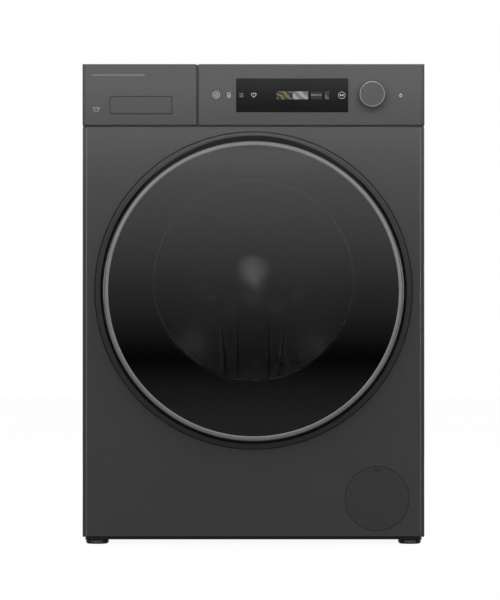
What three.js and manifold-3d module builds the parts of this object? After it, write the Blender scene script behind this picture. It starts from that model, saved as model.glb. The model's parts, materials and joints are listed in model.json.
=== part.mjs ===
// A front-load washing machine, built as an assembly of separate pieces in millimetres.
// The frame is +Z up, with the origin on the floor under the middle of the machine.
// -Y is the front. The drum, its direct-drive motor and its bearings share one axis along Y.
import * as THREE from "three";
import { mergeVertices } from "three/addons/utils/BufferGeometryUtils.js";
import Module from "manifold-3d";

// ---- Driving dimensions ----
const WIDTH = 600;
const HEIGHT = 842; // with the feet wound in
const DEPTH = 645; // door glass to inlet threads
const SHEET = 1.2; // steel sheet
const GAP = 0.4; // between two pieces that meet
const HALF = WIDTH / 2;
const PANEL_Y = -290; // face of the front panel
const REAR_Y = 310; // outer face of the rear panel
const BASE_Z = 8.4; // underside of the base tray
const PANEL_BOTTOM = 12.5;
const SEAM_Z = 734; // joint between the front panel and the two fascia pieces
const SEAM = 3;
const TOP_PANEL_THICK = 28;
const FASCIA_DEPTH = 27.8;
const FASCIA_BACK = PANEL_Y + FASCIA_DEPTH;
const CORNER = 6; // rounding of the front corners

const DRUM_Z = 462.5; // height of the drum axis
const DRUM_R = 246.5;
const DRUM_FRONT = -152;
const DRUM_BACK = 205;
const MOUTH_R = 178; // drum mouth
const TUB_R = 266;
const TUB_FRONT = -173;
const TUB_SPLIT = 40;
const TUB_BACK = 244;
const SHAFT_R = 15;
const SHAFT_END = 303;
const LIFTERS = 3;

const DOOR_Z = 444.5; // height of the door centre
const DOOR_R = 264; // outside of the trim ring
const GLASS_R = 255.6;
const DOOR_PROUD = 32.5; // door front to panel face
const BOWL_RISE = DRUM_Z - DOOR_Z; // the bowl lies on the drum axis, above the door centre
const RECESS_R = 278.5; // dish pressed into the front panel round the door
const RECESS_FLOOR_R = 268;
const RECESS_DEPTH = 22;
const PORTHOLE_R = 182;
const HINGE = { x: -253, y: -16, pin: 3, bore: 3.3, barrel: 5.5, half: 62, armLow: 40, armHigh: 50 };
const HOOK = { x: 232.5, y: -6, pin: 3, bore: 3.3 };

const GROOVE_X = -98.2; // gap between the drawer front and the control panel
const GROOVE = 3.2;
const FLAP = { left: -250.9, right: -143.3, low: 754.1, high: 784.9, corner: 3.7, play: 0.6 };
const FLAP_AXIS = { y: -286, z: 781.9, r: 1.2 };
const POCKET_BACK = -264;
const TRAY = { left: -279, right: -121, low: 750, high: 800, back: -20 };
const WINDOW = { left: -286, right: -112, low: 746, high: 806 }; // drawer opening in the crossbar
const DISPLAY = { left: -30.6, right: 166.3, low: 758.5, high: 816.5, thick: 3.2 };
const KNOB = { x: 207.7, z: 788.4, r: 22.5, proud: 13 };
const POWER = { x: -65.1, z: 787.5, r: 7.4, proud: 0.8 };
const BOARD_Y = -272; // front of the control board

const FILTER = { x: 216.5, z: 79.8, hole: 57.6, flap: 56.4, well: 61 };
const FILTER_PIVOT = { y: 4, z: -62.6, r: 1.6 }; // from the flap centre, at the panel face
const FOOT = { x: 274.7, front: -262, rear: 262, r: 20, high: 7.9, stud: 5, top: 42 };
const SPRING = { x: 262, y: 70, low: 182.5, high: 790 };
const DAMPER = { x: 140, y: 100, tubeTop: 135, rodTop: 217.6 };

const ROUND = 32; // sides of a large circle
const MEDIUM = 20;
const SMALL = 12;

// ---- Materials ----
const finish = (color, roughness, metalness) =>
  new THREE.MeshStandardMaterial({ color, roughness, metalness });
const graphite = finish(0x3d3e40, 0.42, 0.55);
const fasciaGraphite = finish(0x45464a, 0.38, 0.55);
const blackPlastic = finish(0x17181a, 0.5, 0);
const greyPlastic = finish(0xb9bbbd, 0.5, 0);
const tintedGlass = finish(0x0b0c0d, 0.04, 0);
const clearGlass = finish(0xcfd6d8, 0.03, 0);
const trimMetal = finish(0x9a9b9d, 0.28, 1);
const stainless = finish(0xb5b7b8, 0.3, 1);
const zincSteel = finish(0x9fa3a6, 0.45, 1);
const castAluminium = finish(0xa3a5a7, 0.55, 1);
const greyRubber = finish(0x5a5c5e, 0.75, 0);
const blackRubber = finish(0x151515, 0.85, 0);
const concrete = finish(0x8d8a84, 0.95, 0);
const circuitBoard = finish(0x1d4a2c, 0.6, 0);
const tubPlastic = finish(0x9b9c9c, 0.6, 0);

// ---- Solid modelling helpers ----
const wasm = await Module();
wasm.setup();

function solidOf(geometry) {
  const bare = new THREE.BufferGeometry();
  bare.setAttribute("position", geometry.getAttribute("position"));
  bare.setIndex(geometry.index);
  const merged = mergeVertices(bare, 1e-4);
  const index = merged.index.array;
  const triangles = [];
  for (let i = 0; i < index.length; i += 3) {
    const [a, b, c] = [index[i], index[i + 1], index[i + 2]];
    if (a !== b && b !== c && a !== c) triangles.push(a, b, c);
  }
  return new wasm.Manifold(
    new wasm.Mesh({
      numProp: 3,
      vertProperties: merged.attributes.position.array,
      triVerts: new Uint32Array(triangles),
    }),
  );
}

function geometryOf(solid) {
  const mesh = solid.getMesh();
  const indexed = new THREE.BufferGeometry();
  indexed.setAttribute("position", new THREE.BufferAttribute(mesh.vertProperties, 3));
  indexed.setIndex(new THREE.BufferAttribute(mesh.triVerts, 1));
  const flat = indexed.toNonIndexed();
  flat.computeVertexNormals();
  return flat;
}

const join = (first, ...rest) => rest.reduce((whole, piece) => whole.add(piece), first);
const cut = (first, ...rest) => rest.reduce((whole, piece) => whole.subtract(piece), first);
const moved = (solid, x, y, z) => solid.translate([x, y, z]);

// A box between two corners.
function box(x0, x1, y0, y1, z0, z1) {
  const geometry = new THREE.BoxGeometry(x1 - x0, y1 - y0, z1 - z0);
  geometry.translate((x0 + x1) / 2, (y0 + y1) / 2, (z0 + z1) / 2);
  return solidOf(geometry);
}

// A solid of revolution about Y. The points are [radius, y] pairs round a closed outline.
// An outline that starts and ends on the axis is left open there.
function turned(points, sides = ROUND) {
  const area = points.reduce((sum, [r, y], i) => {
    const [nextR, nextY] = points[(i + 1) % points.length];
    return sum + r * nextY - nextR * y;
  }, 0);
  const ordered = area > 0 ? [...points] : [...points].reverse();
  const onAxis = ordered.filter(([r]) => r === 0).length === 2;
  while (onAxis && !(ordered[0][0] === 0 && ordered.at(-1)[0] === 0)) ordered.push(ordered.shift());
  if (!onAxis) ordered.push(ordered[0]);
  return solidOf(new THREE.LatheGeometry(ordered.map(([r, y]) => new THREE.Vector2(r, y)), sides));
}

// The same about Z, with [radius, z] pairs.
const turnedUp = (points, sides = SMALL) => turned(points, sides).rotate([90, 0, 0]);

const rod = (radius, y0, y1, sides = SMALL) => turned([[0, y0], [radius, y0], [radius, y1], [0, y1]], sides);
const post = (radius, z0, z1, sides = SMALL) => turnedUp([[0, z0], [radius, z0], [radius, z1], [0, z1]], sides);

// A closed outline of [x, z] points, standing in the XZ plane from y0 to y1.
function upright(shape, y0, y1, curveSegments = 6) {
  const geometry = new THREE.ExtrudeGeometry(shape, { depth: y1 - y0, bevelEnabled: false, curveSegments });
  geometry.rotateX(Math.PI / 2);
  geometry.translate(0, y1, 0);
  return solidOf(geometry);
}

function outline(points) {
  return new THREE.Shape(points.map(([x, y]) => new THREE.Vector2(x, y)));
}

function roundedRectangle(x0, x1, z0, z1, r) {
  const shape = new THREE.Shape();
  shape.moveTo(x0 + r, z0);
  shape.lineTo(x1 - r, z0);
  shape.absarc(x1 - r, z0 + r, r, -Math.PI / 2, 0);
  shape.lineTo(x1, z1 - r);
  shape.absarc(x1 - r, z1 - r, r, 0, Math.PI / 2);
  shape.lineTo(x0 + r, z1);
  shape.absarc(x0 + r, z1 - r, r, Math.PI / 2, Math.PI);
  shape.lineTo(x0, z0 + r);
  shape.absarc(x0 + r, z0 + r, r, Math.PI, 1.5 * Math.PI);
  return shape;
}

// A closed outline of [x, y] points, extruded up from z0 to z1.
function column(points, z0, z1) {
  const geometry = new THREE.ExtrudeGeometry(outline(points), { depth: z1 - z0, bevelEnabled: false });
  geometry.translate(0, 0, z0);
  return solidOf(geometry);
}

// A bar of round section along a smooth line through points.
function bar(points, radius, steps, sides = 8) {
  const section = new THREE.Shape();
  section.absarc(0, 0, radius, 0, 2 * Math.PI);
  const path = new THREE.CatmullRomCurve3(points.map(([x, y, z]) => new THREE.Vector3(x, y, z)));
  const options = { steps, curveSegments: sides / 2, extrudePath: path, bevelEnabled: false };
  return solidOf(new THREE.ExtrudeGeometry(section, options));
}

// ---- Groups: each holds pieces in its own local frame ----
const machine = new THREE.Group();
function groupAt(x, y, z) {
  const group = new THREE.Group();
  group.position.set(x, y, z);
  machine.add(group);
  return group;
}
const drumAxis = groupAt(0, 0, DRUM_Z);
const doorFace = groupAt(0, PANEL_Y, DOOR_Z);
const filterFace = groupAt(FILTER.x, PANEL_Y, FILTER.z);
const knobFace = groupAt(KNOB.x, PANEL_Y, KNOB.z);
const powerFace = groupAt(POWER.x, PANEL_Y, POWER.z);

function place(name, solid, material, group = machine) {
  const mesh = new THREE.Mesh(geometryOf(solid), material);
  mesh.name = name;
  group.add(mesh);
  return mesh;
}

// ---- Cabinet ----
const PANEL_TOP = SEAM_Z - SEAM / 2;
const FASCIA_BOTTOM = SEAM_Z + SEAM / 2;
const SIDE_FRONT = PANEL_Y + 21.5;
const SIDE_TOP = HEIGHT - TOP_PANEL_THICK - 2;

// The front face and its two rounded corners seen from above, set in by the given amount.
function faceLine(inset, back) {
  const steps = 4;
  const r = CORNER - inset;
  const left = Array.from({ length: steps + 1 }, (_, i) => {
    const angle = (i / steps) * (Math.PI / 2);
    return [-HALF + CORNER - r * Math.cos(angle), PANEL_Y + CORNER - r * Math.sin(angle)];
  });
  const right = left.map(([x, y]) => [-x, y]).reverse();
  return [[-HALF + inset, back], ...left, ...right, [HALF - inset, back]];
}

function frontPanel() {
  const back = PANEL_Y + 20;
  const channel = column([...faceLine(0, back), ...faceLine(SHEET, back).reverse()], PANEL_BOTTOM, PANEL_TOP);
  const flange = (z) => box(-HALF + CORNER, HALF - CORNER, PANEL_Y + 0.6, PANEL_Y + 17, z, z + SHEET);
  const shell = join(channel, flange(PANEL_BOTTOM), flange(PANEL_TOP - SHEET));
  const floor = PANEL_Y + RECESS_DEPTH;
  const dish = moved(
    turned([
      [0, floor], [RECESS_FLOOR_R, floor], [RECESS_R, PANEL_Y], [RECESS_R + 1.4, PANEL_Y],
      [RECESS_FLOOR_R + 1.2, floor + SHEET], [0, floor + SHEET],
    ]),
    0, 0, DOOR_Z,
  );
  const doorHole = moved(rod(RECESS_R + 0.6, PANEL_Y - 1, PANEL_Y + 19, ROUND), 0, 0, DOOR_Z);
  const porthole = moved(rod(PORTHOLE_R, PANEL_Y, 0, ROUND), 0, 0, DRUM_Z);
  const filterHole = moved(rod(FILTER.hole, PANEL_Y - 1, PANEL_Y + 5, ROUND), FILTER.x, 0, FILTER.z);
  const lockSlot = box(HOOK.x - 7, HOOK.x + 7, PANEL_Y, PANEL_Y + 30, DOOR_Z - 18, DOOR_Z + 18);
  return cut(join(cut(shell, doorHole), dish), porthole, filterHole, lockSlot);
}

// A side panel with return flanges at the front and the rear, and the tab that a spring hangs from.
function sidePanel() {
  const skin = box(HALF - SHEET, HALF, SIDE_FRONT, REAR_Y - 1.5, PANEL_BOTTOM, SIDE_TOP);
  const flange = (y) => box(285, HALF - 0.5, y, y + SHEET, PANEL_BOTTOM, SIDE_TOP);
  const tab = box(SPRING.x - 12, HALF - 0.5, SPRING.y - 12, SPRING.y + 12, SPRING.high, SPRING.high + 3);
  const fasciaRoom = box(280, HALF + 1, SIDE_FRONT - 1, FASCIA_BACK + GAP, FASCIA_BOTTOM - GAP, HEIGHT);
  return cut(join(skin, flange(SIDE_FRONT), flange(REAR_Y - 1.5 - SHEET), tab), fasciaRoom);
}

const REAR_HOLES = {
  service: { x: 0, z: DRUM_Z, r: 170 },
  inlets: [180, 222].map((x) => ({ x, z: 772, r: 15 })),
  gland: { x: -232, z: 772, r: 8.6 },
};

function rearPanel() {
  const sheet = box(-HALF, HALF, REAR_Y - SHEET, REAR_Y, PANEL_BOTTOM, SIDE_TOP);
  const holes = [REAR_HOLES.service, ...REAR_HOLES.inlets, REAR_HOLES.gland].map(({ x, z, r }) =>
    moved(rod(r, REAR_Y - 5, REAR_Y + 5, r > 100 ? ROUND : MEDIUM), x, 0, z),
  );
  return cut(sheet, ...holes);
}

function rearServiceCover() {
  const face = REAR_Y + GAP;
  const pan = [[0, face + 4], [158, face + 4], [166, face], [184, face], [184, face + SHEET]];
  return turned([...pan, [167, face + SHEET], [159, face + 4 + SHEET], [0, face + 4 + SHEET]]);
}

// A pan with a lip under the front panel, four bosses for the feet and walls inside the cabinet.
function baseTray() {
  const floor = 2;
  const plate = box(-295, 295, PANEL_Y + 4, REAR_Y - 4, BASE_Z, BASE_Z + floor);
  const lip = box(-295, 295, PANEL_Y + 4, PANEL_Y + 6, BASE_Z, PANEL_BOTTOM - GAP);
  const wall = (x0, x1, y0, y1) => box(x0, x1, y0, y1, BASE_Z, 48);
  const front = SIDE_FRONT + 3;
  const back = REAR_Y - 5;
  const walls = [
    wall(-284, 284, front, front + 2),
    wall(-284, 284, back - 2, back),
    wall(-284, -282, front, back),
    wall(282, 284, front, back),
  ];
  const bossAt = (x, y) => moved(post(9, BASE_Z, 38), x, y, 0);
  const boreAt = (x, y) => moved(post(FOOT.stud + 0.4, 0, 60), x, y, 0);
  const spots = footSpots().map(({ x, y }) => [x, y]);
  const pumpGap = moved(rod(FILTER.well + 2.8, front - 1, front + 3, MEDIUM), FILTER.x, 0, FILTER.z);
  const solid = join(plate, lip, cut(join(...walls), pumpGap), ...spots.map(([x, y]) => bossAt(x, y)));
  return cut(solid, ...spots.map(([x, y]) => boreAt(x, y)));
}

function footSpots() {
  const rows = [["front", FOOT.front], ["rear", FOOT.rear]];
  const sides = [["left", -FOOT.x], ["right", FOOT.x]];
  return rows.flatMap(([row, y]) => sides.map(([side, x]) => ({ name: `foot_${row}_${side}`, x, y })));
}

const foot = () =>
  turnedUp([
    [0, 0], [17.5, 0], [FOOT.r, 2.5], [FOOT.r, 6], [18, FOOT.high],
    [FOOT.stud, FOOT.high], [FOOT.stud, FOOT.top], [0, FOOT.top],
  ], 16);

function topPanel() {
  const low = HEIGHT - TOP_PANEL_THICK;
  const front = FASCIA_BACK + GAP;
  const back = REAR_Y + 1.5;
  const slab = box(-HALF, HALF, front, back, low, HEIGHT);
  const wall = 6;
  const hollow = box(-HALF + wall, HALF - wall, front + wall, back - wall, low - 1, HEIGHT - 5);
  return cut(slab, hollow);
}

// The rail across the top of the cabinet, with the opening that the detergent drawer passes through.
function frontCrossbar() {
  const y = FASCIA_BACK + 4.7;
  const plate = box(-297, 297, y, y + 1.5, 738, SIDE_TOP - 1);
  const flange = box(-284, 284, y, y + 21, SIDE_TOP - 2.5, SIDE_TOP - 1);
  const opening = box(WINDOW.left, WINDOW.right, y - 1, y + 2.5, WINDOW.low, WINDOW.high);
  return cut(join(plate, flange), opening);
}

// ---- Controls ----
const CHAMFER = 5;

// A hollow fascia block, open at the back, with a chamfer along its outer end.
function fasciaBlock(inner, outer) {
  const side = Math.sign(outer);
  const wall = 3;
  const section = (x0, x1, front, chamfer, back) =>
    [[x0, front], [x1 - side * chamfer, front], [x1, front + chamfer], [x1, back], [x0, back]];
  const outside = section(inner, outer, PANEL_Y, CHAMFER, FASCIA_BACK);
  const inside = section(inner + side * wall, outer - side * wall, PANEL_Y + wall, CHAMFER - 1, FASCIA_BACK + 1);
  return cut(column(outside, FASCIA_BOTTOM, HEIGHT), column(inside, FASCIA_BOTTOM + wall, HEIGHT - wall));
}

function controlPanel() {
  const block = fasciaBlock(GROOVE_X + GROOVE / 2, HALF);
  const { left, right, low, high, thick } = DISPLAY;
  const ledge = box(left - 4, right + 4, PANEL_Y + 2, PANEL_Y + thick + 2.4, low - 4, high + 4);
  const post = (x, z) => moved(rod(3, PANEL_Y + 2, BOARD_Y - GAP, 8), x, 0, z);
  const posts = [-70, 260].flatMap((x) => [752, 824].map((z) => post(x, z)));
  const through = (r, { x, z }) => moved(rod(r, PANEL_Y - 1, PANEL_Y + 6), x, 0, z);
  const displaySeat = box(left, right, PANEL_Y - 1, PANEL_Y + thick + GAP, low, high);
  const displayHole = box(left + 5, right - 5, PANEL_Y, PANEL_Y + 8, low + 5, high - 5);
  const holes = [displaySeat, displayHole, through(4, KNOB), through(POWER.r + 0.4, POWER)];
  return cut(join(block, ledge, ...posts), ...holes);
}

function displayWindow() {
  const { left, right, low, high, thick } = DISPLAY;
  return box(left + GAP, right - GAP, PANEL_Y, PANEL_Y + thick, low + GAP, high - GAP);
}

const controlBoard = () => box(-80, 270, BOARD_Y, BOARD_Y + 1.6, 746, 830);

function knob() {
  const { r, proud } = KNOB;
  const back = BOARD_Y - PANEL_Y - 0.6;
  return turned([
    [0, -proud], [r - 1.2, -proud], [r, 1.4 - proud], [r, -0.8], [3, -0.8], [3, back], [0, back],
  ], MEDIUM);
}

function powerButton() {
  const { r, proud } = POWER;
  const back = BOARD_Y - PANEL_Y - 1.6;
  return turned([[0, -proud], [r, -proud], [r, 6], [2.5, 6], [2.5, back], [0, back]], 20);
}

// ---- Detergent drawer ----
function drawerFront() {
  const block = fasciaBlock(GROOVE_X - GROOVE / 2, -HALF);
  const { left, right, low, high, corner } = FLAP;
  const wall = 2;
  const pocket = box(left - wall, right + wall, PANEL_Y + 1, POCKET_BACK + wall - 0.2, low - 4 - wall, 806 + wall);
  const inside = box(left, right, PANEL_Y + 3, POCKET_BACK, low - 4, 806);
  const mouth = upright(roundedRectangle(left, right, low, high, corner), PANEL_Y - 1, PANEL_Y + 5, 3);
  const pivotBore = rodAlongX(FLAP_AXIS.r + 0.4, left - 2 * wall, right + 2 * wall, FLAP_AXIS.y, FLAP_AXIS.z);
  return cut(join(block, pocket), inside, mouth, pivotBore);
}

function rodAlongX(radius, x0, x1, y, z, sides = SMALL) {
  return moved(rod(radius, x0, x1, sides).rotate([0, 0, -90]), 0, y, z);
}

function drawerFlap() {
  const { left, right, low, high, corner, play } = FLAP;
  const plate = roundedRectangle(left + play, right - play, low + play, high - play, corner - play);
  const leaf = upright(plate, PANEL_Y, PANEL_Y + 2.5, 3);
  const rib = box(left + 4, right - 4, PANEL_Y + 2, FLAP_AXIS.y + 1, FLAP_AXIS.z - 1.5, FLAP_AXIS.z + 1.5);
  const pin = rodAlongX(FLAP_AXIS.r, left - 1.6, right + 1.6, FLAP_AXIS.y, FLAP_AXIS.z, 10);
  return join(leaf, rib, pin);
}

// A tray with compartments for the main wash, the prewash and the softener.
function detergentTray() {
  const { left, right, low, high, back } = TRAY;
  const front = FASCIA_BACK + GAP;
  const wall = 2;
  const body = box(left, right, front, back, low, high);
  const splitX = left + 92;
  const splitY = -120;
  const rooms = [
    [left + wall, splitX - wall / 2, front + wall, back - wall],
    [splitX + wall / 2, right - wall, front + wall, splitY - wall / 2],
    [splitX + wall / 2, right - wall, splitY + wall / 2, back - wall],
  ];
  return cut(body, ...rooms.map(([x0, x1, y0, y1]) => box(x0, x1, y0, y1, low + wall, high + 1)));
}

// The box that the drawer slides in, open at the front, with the outlet to the tub below it.
const OUTLET = { x: -150, y: -4, bore: 14, r: 17 };
function dispenserHousing() {
  const front = FASCIA_BACK + 6.6;
  const wall = 2;
  const shell = box(WINDOW.left - wall, WINDOW.right + wall, front, 14, 743, 808.6);
  const inside = box(WINDOW.left, WINDOW.right, front - 1, 14 - wall, 745, 806.6);
  const hole = moved(post(OUTLET.bore, 740, 750), OUTLET.x, OUTLET.y, 0);
  return cut(shell, inside, hole);
}

// A short bellows between the dispenser outlet and the spigot on top of the tub.
function dispenserHose() {
  const low = DRUM_Z + 235.4;
  const high = 742.6;
  const folds = 4;
  const pitch = (high - low) / folds;
  const outside = [];
  for (let i = 0; i < folds; i++) {
    outside.push([OUTLET.r, low + i * pitch], [OUTLET.r + 3, low + (i + 0.5) * pitch]);
  }
  outside.push([OUTLET.r, high]);
  const inside = outside.map(([r, z]) => [r - 2.4, z]).reverse();
  return moved(turnedUp([...outside, ...inside]), OUTLET.x, OUTLET.y, 0);
}

// ---- Services at the rear ----
function inletValve() {
  const body = box(158, 244, 268, REAR_Y - SHEET - 2, 754, 790);
  const coils = REAR_HOLES.inlets.map(({ x }) => box(x - 12, x + 12, 240, 270, 758, 786));
  const spigots = REAR_HOLES.inlets.map(({ x, z }) => moved(rod(13.2, 300, DEPTH / 2, MEDIUM), x, 0, z));
  const bores = REAR_HOLES.inlets.map(({ x, z }) => moved(rod(9, 305, DEPTH / 2 + 1, MEDIUM), x, 0, z));
  return cut(join(body, ...coils, ...spigots), ...bores);
}

function powerCordGland() {
  const { x, z } = REAR_HOLES.gland;
  const body = turned([
    [4, 296], [12, 296], [12, 301], [8.2, 301], [8.2, REAR_Y + GAP], [13, REAR_Y + GAP],
    [13, REAR_Y + 4], [7, REAR_Y + 11], [4, REAR_Y + 11],
  ], 20);
  return moved(body, x, 0, z);
}

// ---- Tub, hung on springs and standing on dampers; pieces are in the drum axis frame ----
function tubFront() {
  const neck = 199;
  const shell = turned([
    [neck, -210], [neck, TUB_FRONT], [TUB_R, TUB_FRONT], [TUB_R, TUB_SPLIT - 4], [274, TUB_SPLIT - 4],
    [274, TUB_SPLIT], [TUB_R - 4, TUB_SPLIT], [TUB_R - 4, TUB_FRONT + 4], [neck - 5, TUB_FRONT + 4], [neck - 5, -210],
  ]);
  const inletStub = moved(post(OUTLET.r, 205, 235), OUTLET.x, OUTLET.y, 0);
  const inletBore = moved(post(OUTLET.bore, 190, 240), OUTLET.x, OUTLET.y, 0);
  const sumpStub = moved(post(SUMP.r, -246, -205), SUMP.x, SUMP.y, 0);
  const sumpBore = moved(post(SUMP.bore, -250, -190), SUMP.x, SUMP.y, 0);
  const trimmed = rod(TUB_R - 4, TUB_FRONT + 4, TUB_SPLIT, ROUND);
  return cut(join(shell, cut(join(inletStub, sumpStub), trimmed)), inletBore, sumpBore);
}
const SUMP = { x: 150, y: -100, r: 17, bore: 13 };

const HUB = { r: 46, back: 284 };
const FRONT_BEARING = { r: 36, y0: 240.4, y1: 257 };
const REAR_BEARING = { r: 31, y0: 266.4, y1: 282.4 };

function tubRear() {
  const shell = turned([
    [274, TUB_SPLIT + GAP], [274, TUB_SPLIT + 4], [TUB_R, TUB_SPLIT + 4], [TUB_R, TUB_BACK],
    [HUB.r, TUB_BACK], [HUB.r, HUB.back], [REAR_BEARING.r + 0.3, HUB.back],
    [REAR_BEARING.r + 0.3, 266], [24, 266], [24, 257.5], [FRONT_BEARING.r + 0.3, 257.5],
    [FRONT_BEARING.r + 0.3, TUB_BACK - 4], [TUB_R - 4, TUB_BACK - 4], [TUB_R - 4, TUB_SPLIT + GAP],
  ]);
  const inside = rod(TUB_R - 4, TUB_SPLIT, TUB_BACK - 4, ROUND);
  const springLug = (side) => {
    const ends = [side * 190, side * (SPRING.x + 9)].sort((a, b) => a - b);
    return box(...ends, SPRING.y - 9, SPRING.y + 9, SPRING.low - 10, SPRING.low - 0.5);
  };
  const damperLug = (side) =>
    moved(post(13, DAMPER.rodTop + GAP - DRUM_Z, -215), side * DAMPER.x, DAMPER.y, 0);
  const lugs = [-1, 1].flatMap((side) => [springLug(side), damperLug(side)]);
  return join(shell, ...lugs.map((lug) => cut(lug, inside)));
}

const ring = (inner, outer, y0, y1, sides) => turned([[inner, y0], [outer, y0], [outer, y1], [inner, y1]], sides);

const bearing = ({ r, y0, y1 }) => ring(SHAFT_R + 0.3, r, y0, y1, MEDIUM);

// A concrete block that sits on top of the tub, to the right of the dispenser.
function upperCounterweight() {
  const r = TUB_R + 9.5;
  const left = -75;
  const right = 190;
  const top = 335;
  const angle = (x) => Math.acos(x / r);
  const shape = new THREE.Shape();
  shape.moveTo(right, r * Math.sin(angle(right)));
  shape.absarc(0, 0, r, angle(right), angle(left), false);
  shape.lineTo(left, top);
  shape.lineTo(right - 60, top);
  shape.lineTo(right, top - 70);
  return upright(shape, -40, 160, 8);
}

// A concrete half ring bolted in front of the tub, below its neck.
function frontCounterweight() {
  const inner = 210;
  const outer = 262;
  const [from, to] = [200, 340].map(THREE.MathUtils.degToRad);
  const shape = new THREE.Shape();
  shape.moveTo(inner * Math.cos(from), inner * Math.sin(from));
  shape.absarc(0, 0, outer, from, to, false);
  shape.absarc(0, 0, inner, to, from, true);
  return upright(shape, -228, TUB_FRONT - GAP, 12);
}

// The stator of the direct-drive motor, a core with wound teeth pointing outwards.
function stator() {
  const teeth = 18;
  const points = [];
  for (let i = 0; i < teeth; i++) {
    for (const [turn, r] of [[-0.3, 88], [-0.22, 120], [0.22, 120], [0.3, 88]]) {
      const angle = ((i + turn) / teeth) * 2 * Math.PI;
      points.push([r * Math.cos(angle), r * Math.sin(angle)]);
    }
  }
  return cut(upright(outline(points), 246, 274), rod(62, 240, 280, MEDIUM));
}

// An immersion heater in the sump, a hairpin on a flange.
function heater() {
  const z = -253.6;
  const x = 28;
  const line = [[-x, 238, z], [-x, 60, z], [-x, -110, z], [0, -138, z - 1], [x, -110, z], [x, 60, z], [x, 238, z]];
  return join(bar(line, 3.6, 24, 6), box(-34, 34, 232, 239.4, z - 4, z + 4));
}

function doorGasket() {
  const face = PANEL_Y + RECESS_DEPTH;
  return turned([
    [186, face - 3.4], [186, face - GAP], [PORTHOLE_R - 0.5, face - GAP],
    [PORTHOLE_R - 0.5, face + SHEET + GAP], [194, face + SHEET + GAP], [207, face + 28], [198, face + 42],
    [204, face + 66], [199.6, face + 66], [199.6, face + 56], [193, face + 42], [202, face + 28],
    [190, face + 8], [173.5, face + 13], [171.8, face + 10.5], [178, face - 3.4],
  ]);
}

function dampers() {
  const tube = turnedUp([
    [0, BASE_Z + 2.4], [16, BASE_Z + 2.4], [16, 24], [14, 28], [14, DAMPER.tubeTop],
    [7.2, DAMPER.tubeTop], [7.2, DAMPER.tubeTop - 6], [10.5, DAMPER.tubeTop - 6], [10.5, 30], [0, 30],
  ], 18);
  const rodPiece = turnedUp([
    [0, 60], [9.8, 60], [9.8, 76], [6, 76], [6, DAMPER.rodTop - 10], [11, DAMPER.rodTop - 10],
    [11, DAMPER.rodTop], [0, DAMPER.rodTop],
  ], 18);
  return { tube, rodPiece };
}

// An extension spring: end hooks on the spring's axis, and open coils between them.
function suspensionSpring() {
  const low = DRUM_Z + SPRING.low;
  const high = SPRING.high - GAP;
  const turns = 5;
  const perTurn = 6;
  const radius = 12;
  const start = low + 14;
  const rise = high - 14 - start;
  const coil = Array.from({ length: turns * perTurn + 1 }, (_, i) => {
    const angle = (i / perTurn) * 2 * Math.PI;
    return [radius * Math.cos(angle), radius * Math.sin(angle), start + (rise * i) / (turns * perTurn)];
  });
  return bar([[0, 0, low], [0, 0, low + 6], ...coil, [0, 0, high - 6], [0, 0, high]], 2, 34, 6);
}

// ---- Drum, turning in the tub ----
function drumShell() {
  const t = 1.5;
  return turned([
    [MOUTH_R, DRUM_FRONT + 5], [MOUTH_R + 2.5, DRUM_FRONT], [DRUM_R - 7, DRUM_FRONT + 4],
    [DRUM_R, DRUM_FRONT + 11], [DRUM_R, DRUM_BACK], [DRUM_R - t, DRUM_BACK], [DRUM_R - t, DRUM_FRONT + 12],
    [DRUM_R - 7.8, DRUM_FRONT + 5.6], [MOUTH_R + 3.4, DRUM_FRONT + 1.7], [MOUTH_R + t, DRUM_FRONT + 6],
  ]);
}

function drumBack() {
  const r = DRUM_R - 2.2;
  return turned([
    [0, 186], [22, 187.5], [44, 199], [r, 203], [r, DRUM_BACK], [44, 201.2], [20, 189.6], [0, 188],
  ]);
}

// The cast arms behind the drum back, in line with the lifters.
function drumSpider() {
  const front = DRUM_BACK + GAP;
  const arm = box(-20, 20, front, front + 17, -238, -20);
  const arms = Array.from({ length: LIFTERS }, (_, i) => arm.rotate([0, (i * 360) / LIFTERS, 0]));
  const hub = rod(34, front, front + 28, MEDIUM);
  return cut(join(hub, ...arms), rod(SHAFT_R + 0.3, 212, 240, MEDIUM));
}

const drumShaft = () => rod(SHAFT_R, 212.5, SHAFT_END, MEDIUM);

// A lifter: a hollow-looking rib with sloping flanks, lying along the bottom of the drum.
function lifter() {
  const foot = 42;
  const z = -Math.sqrt((DRUM_R - 3) ** 2 - foot ** 2);
  const crest = -192;
  const shape = outline([[-foot, z], [foot, z], [24, z + 12], [13, crest - 4], [8, crest], [-8, crest],
    [-13, crest - 4], [-24, z + 12]]);
  return upright(shape, DRUM_FRONT + 26, 190);
}

const rotor = () =>
  turned([
    [SHAFT_R + 0.3, 285], [SHAFT_R + 0.3, 300], [30, 300], [36, 292], [134, 292], [134, 252], [129, 252],
    [129, 288], [34, 288], [28, 285],
  ], MEDIUM);

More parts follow.
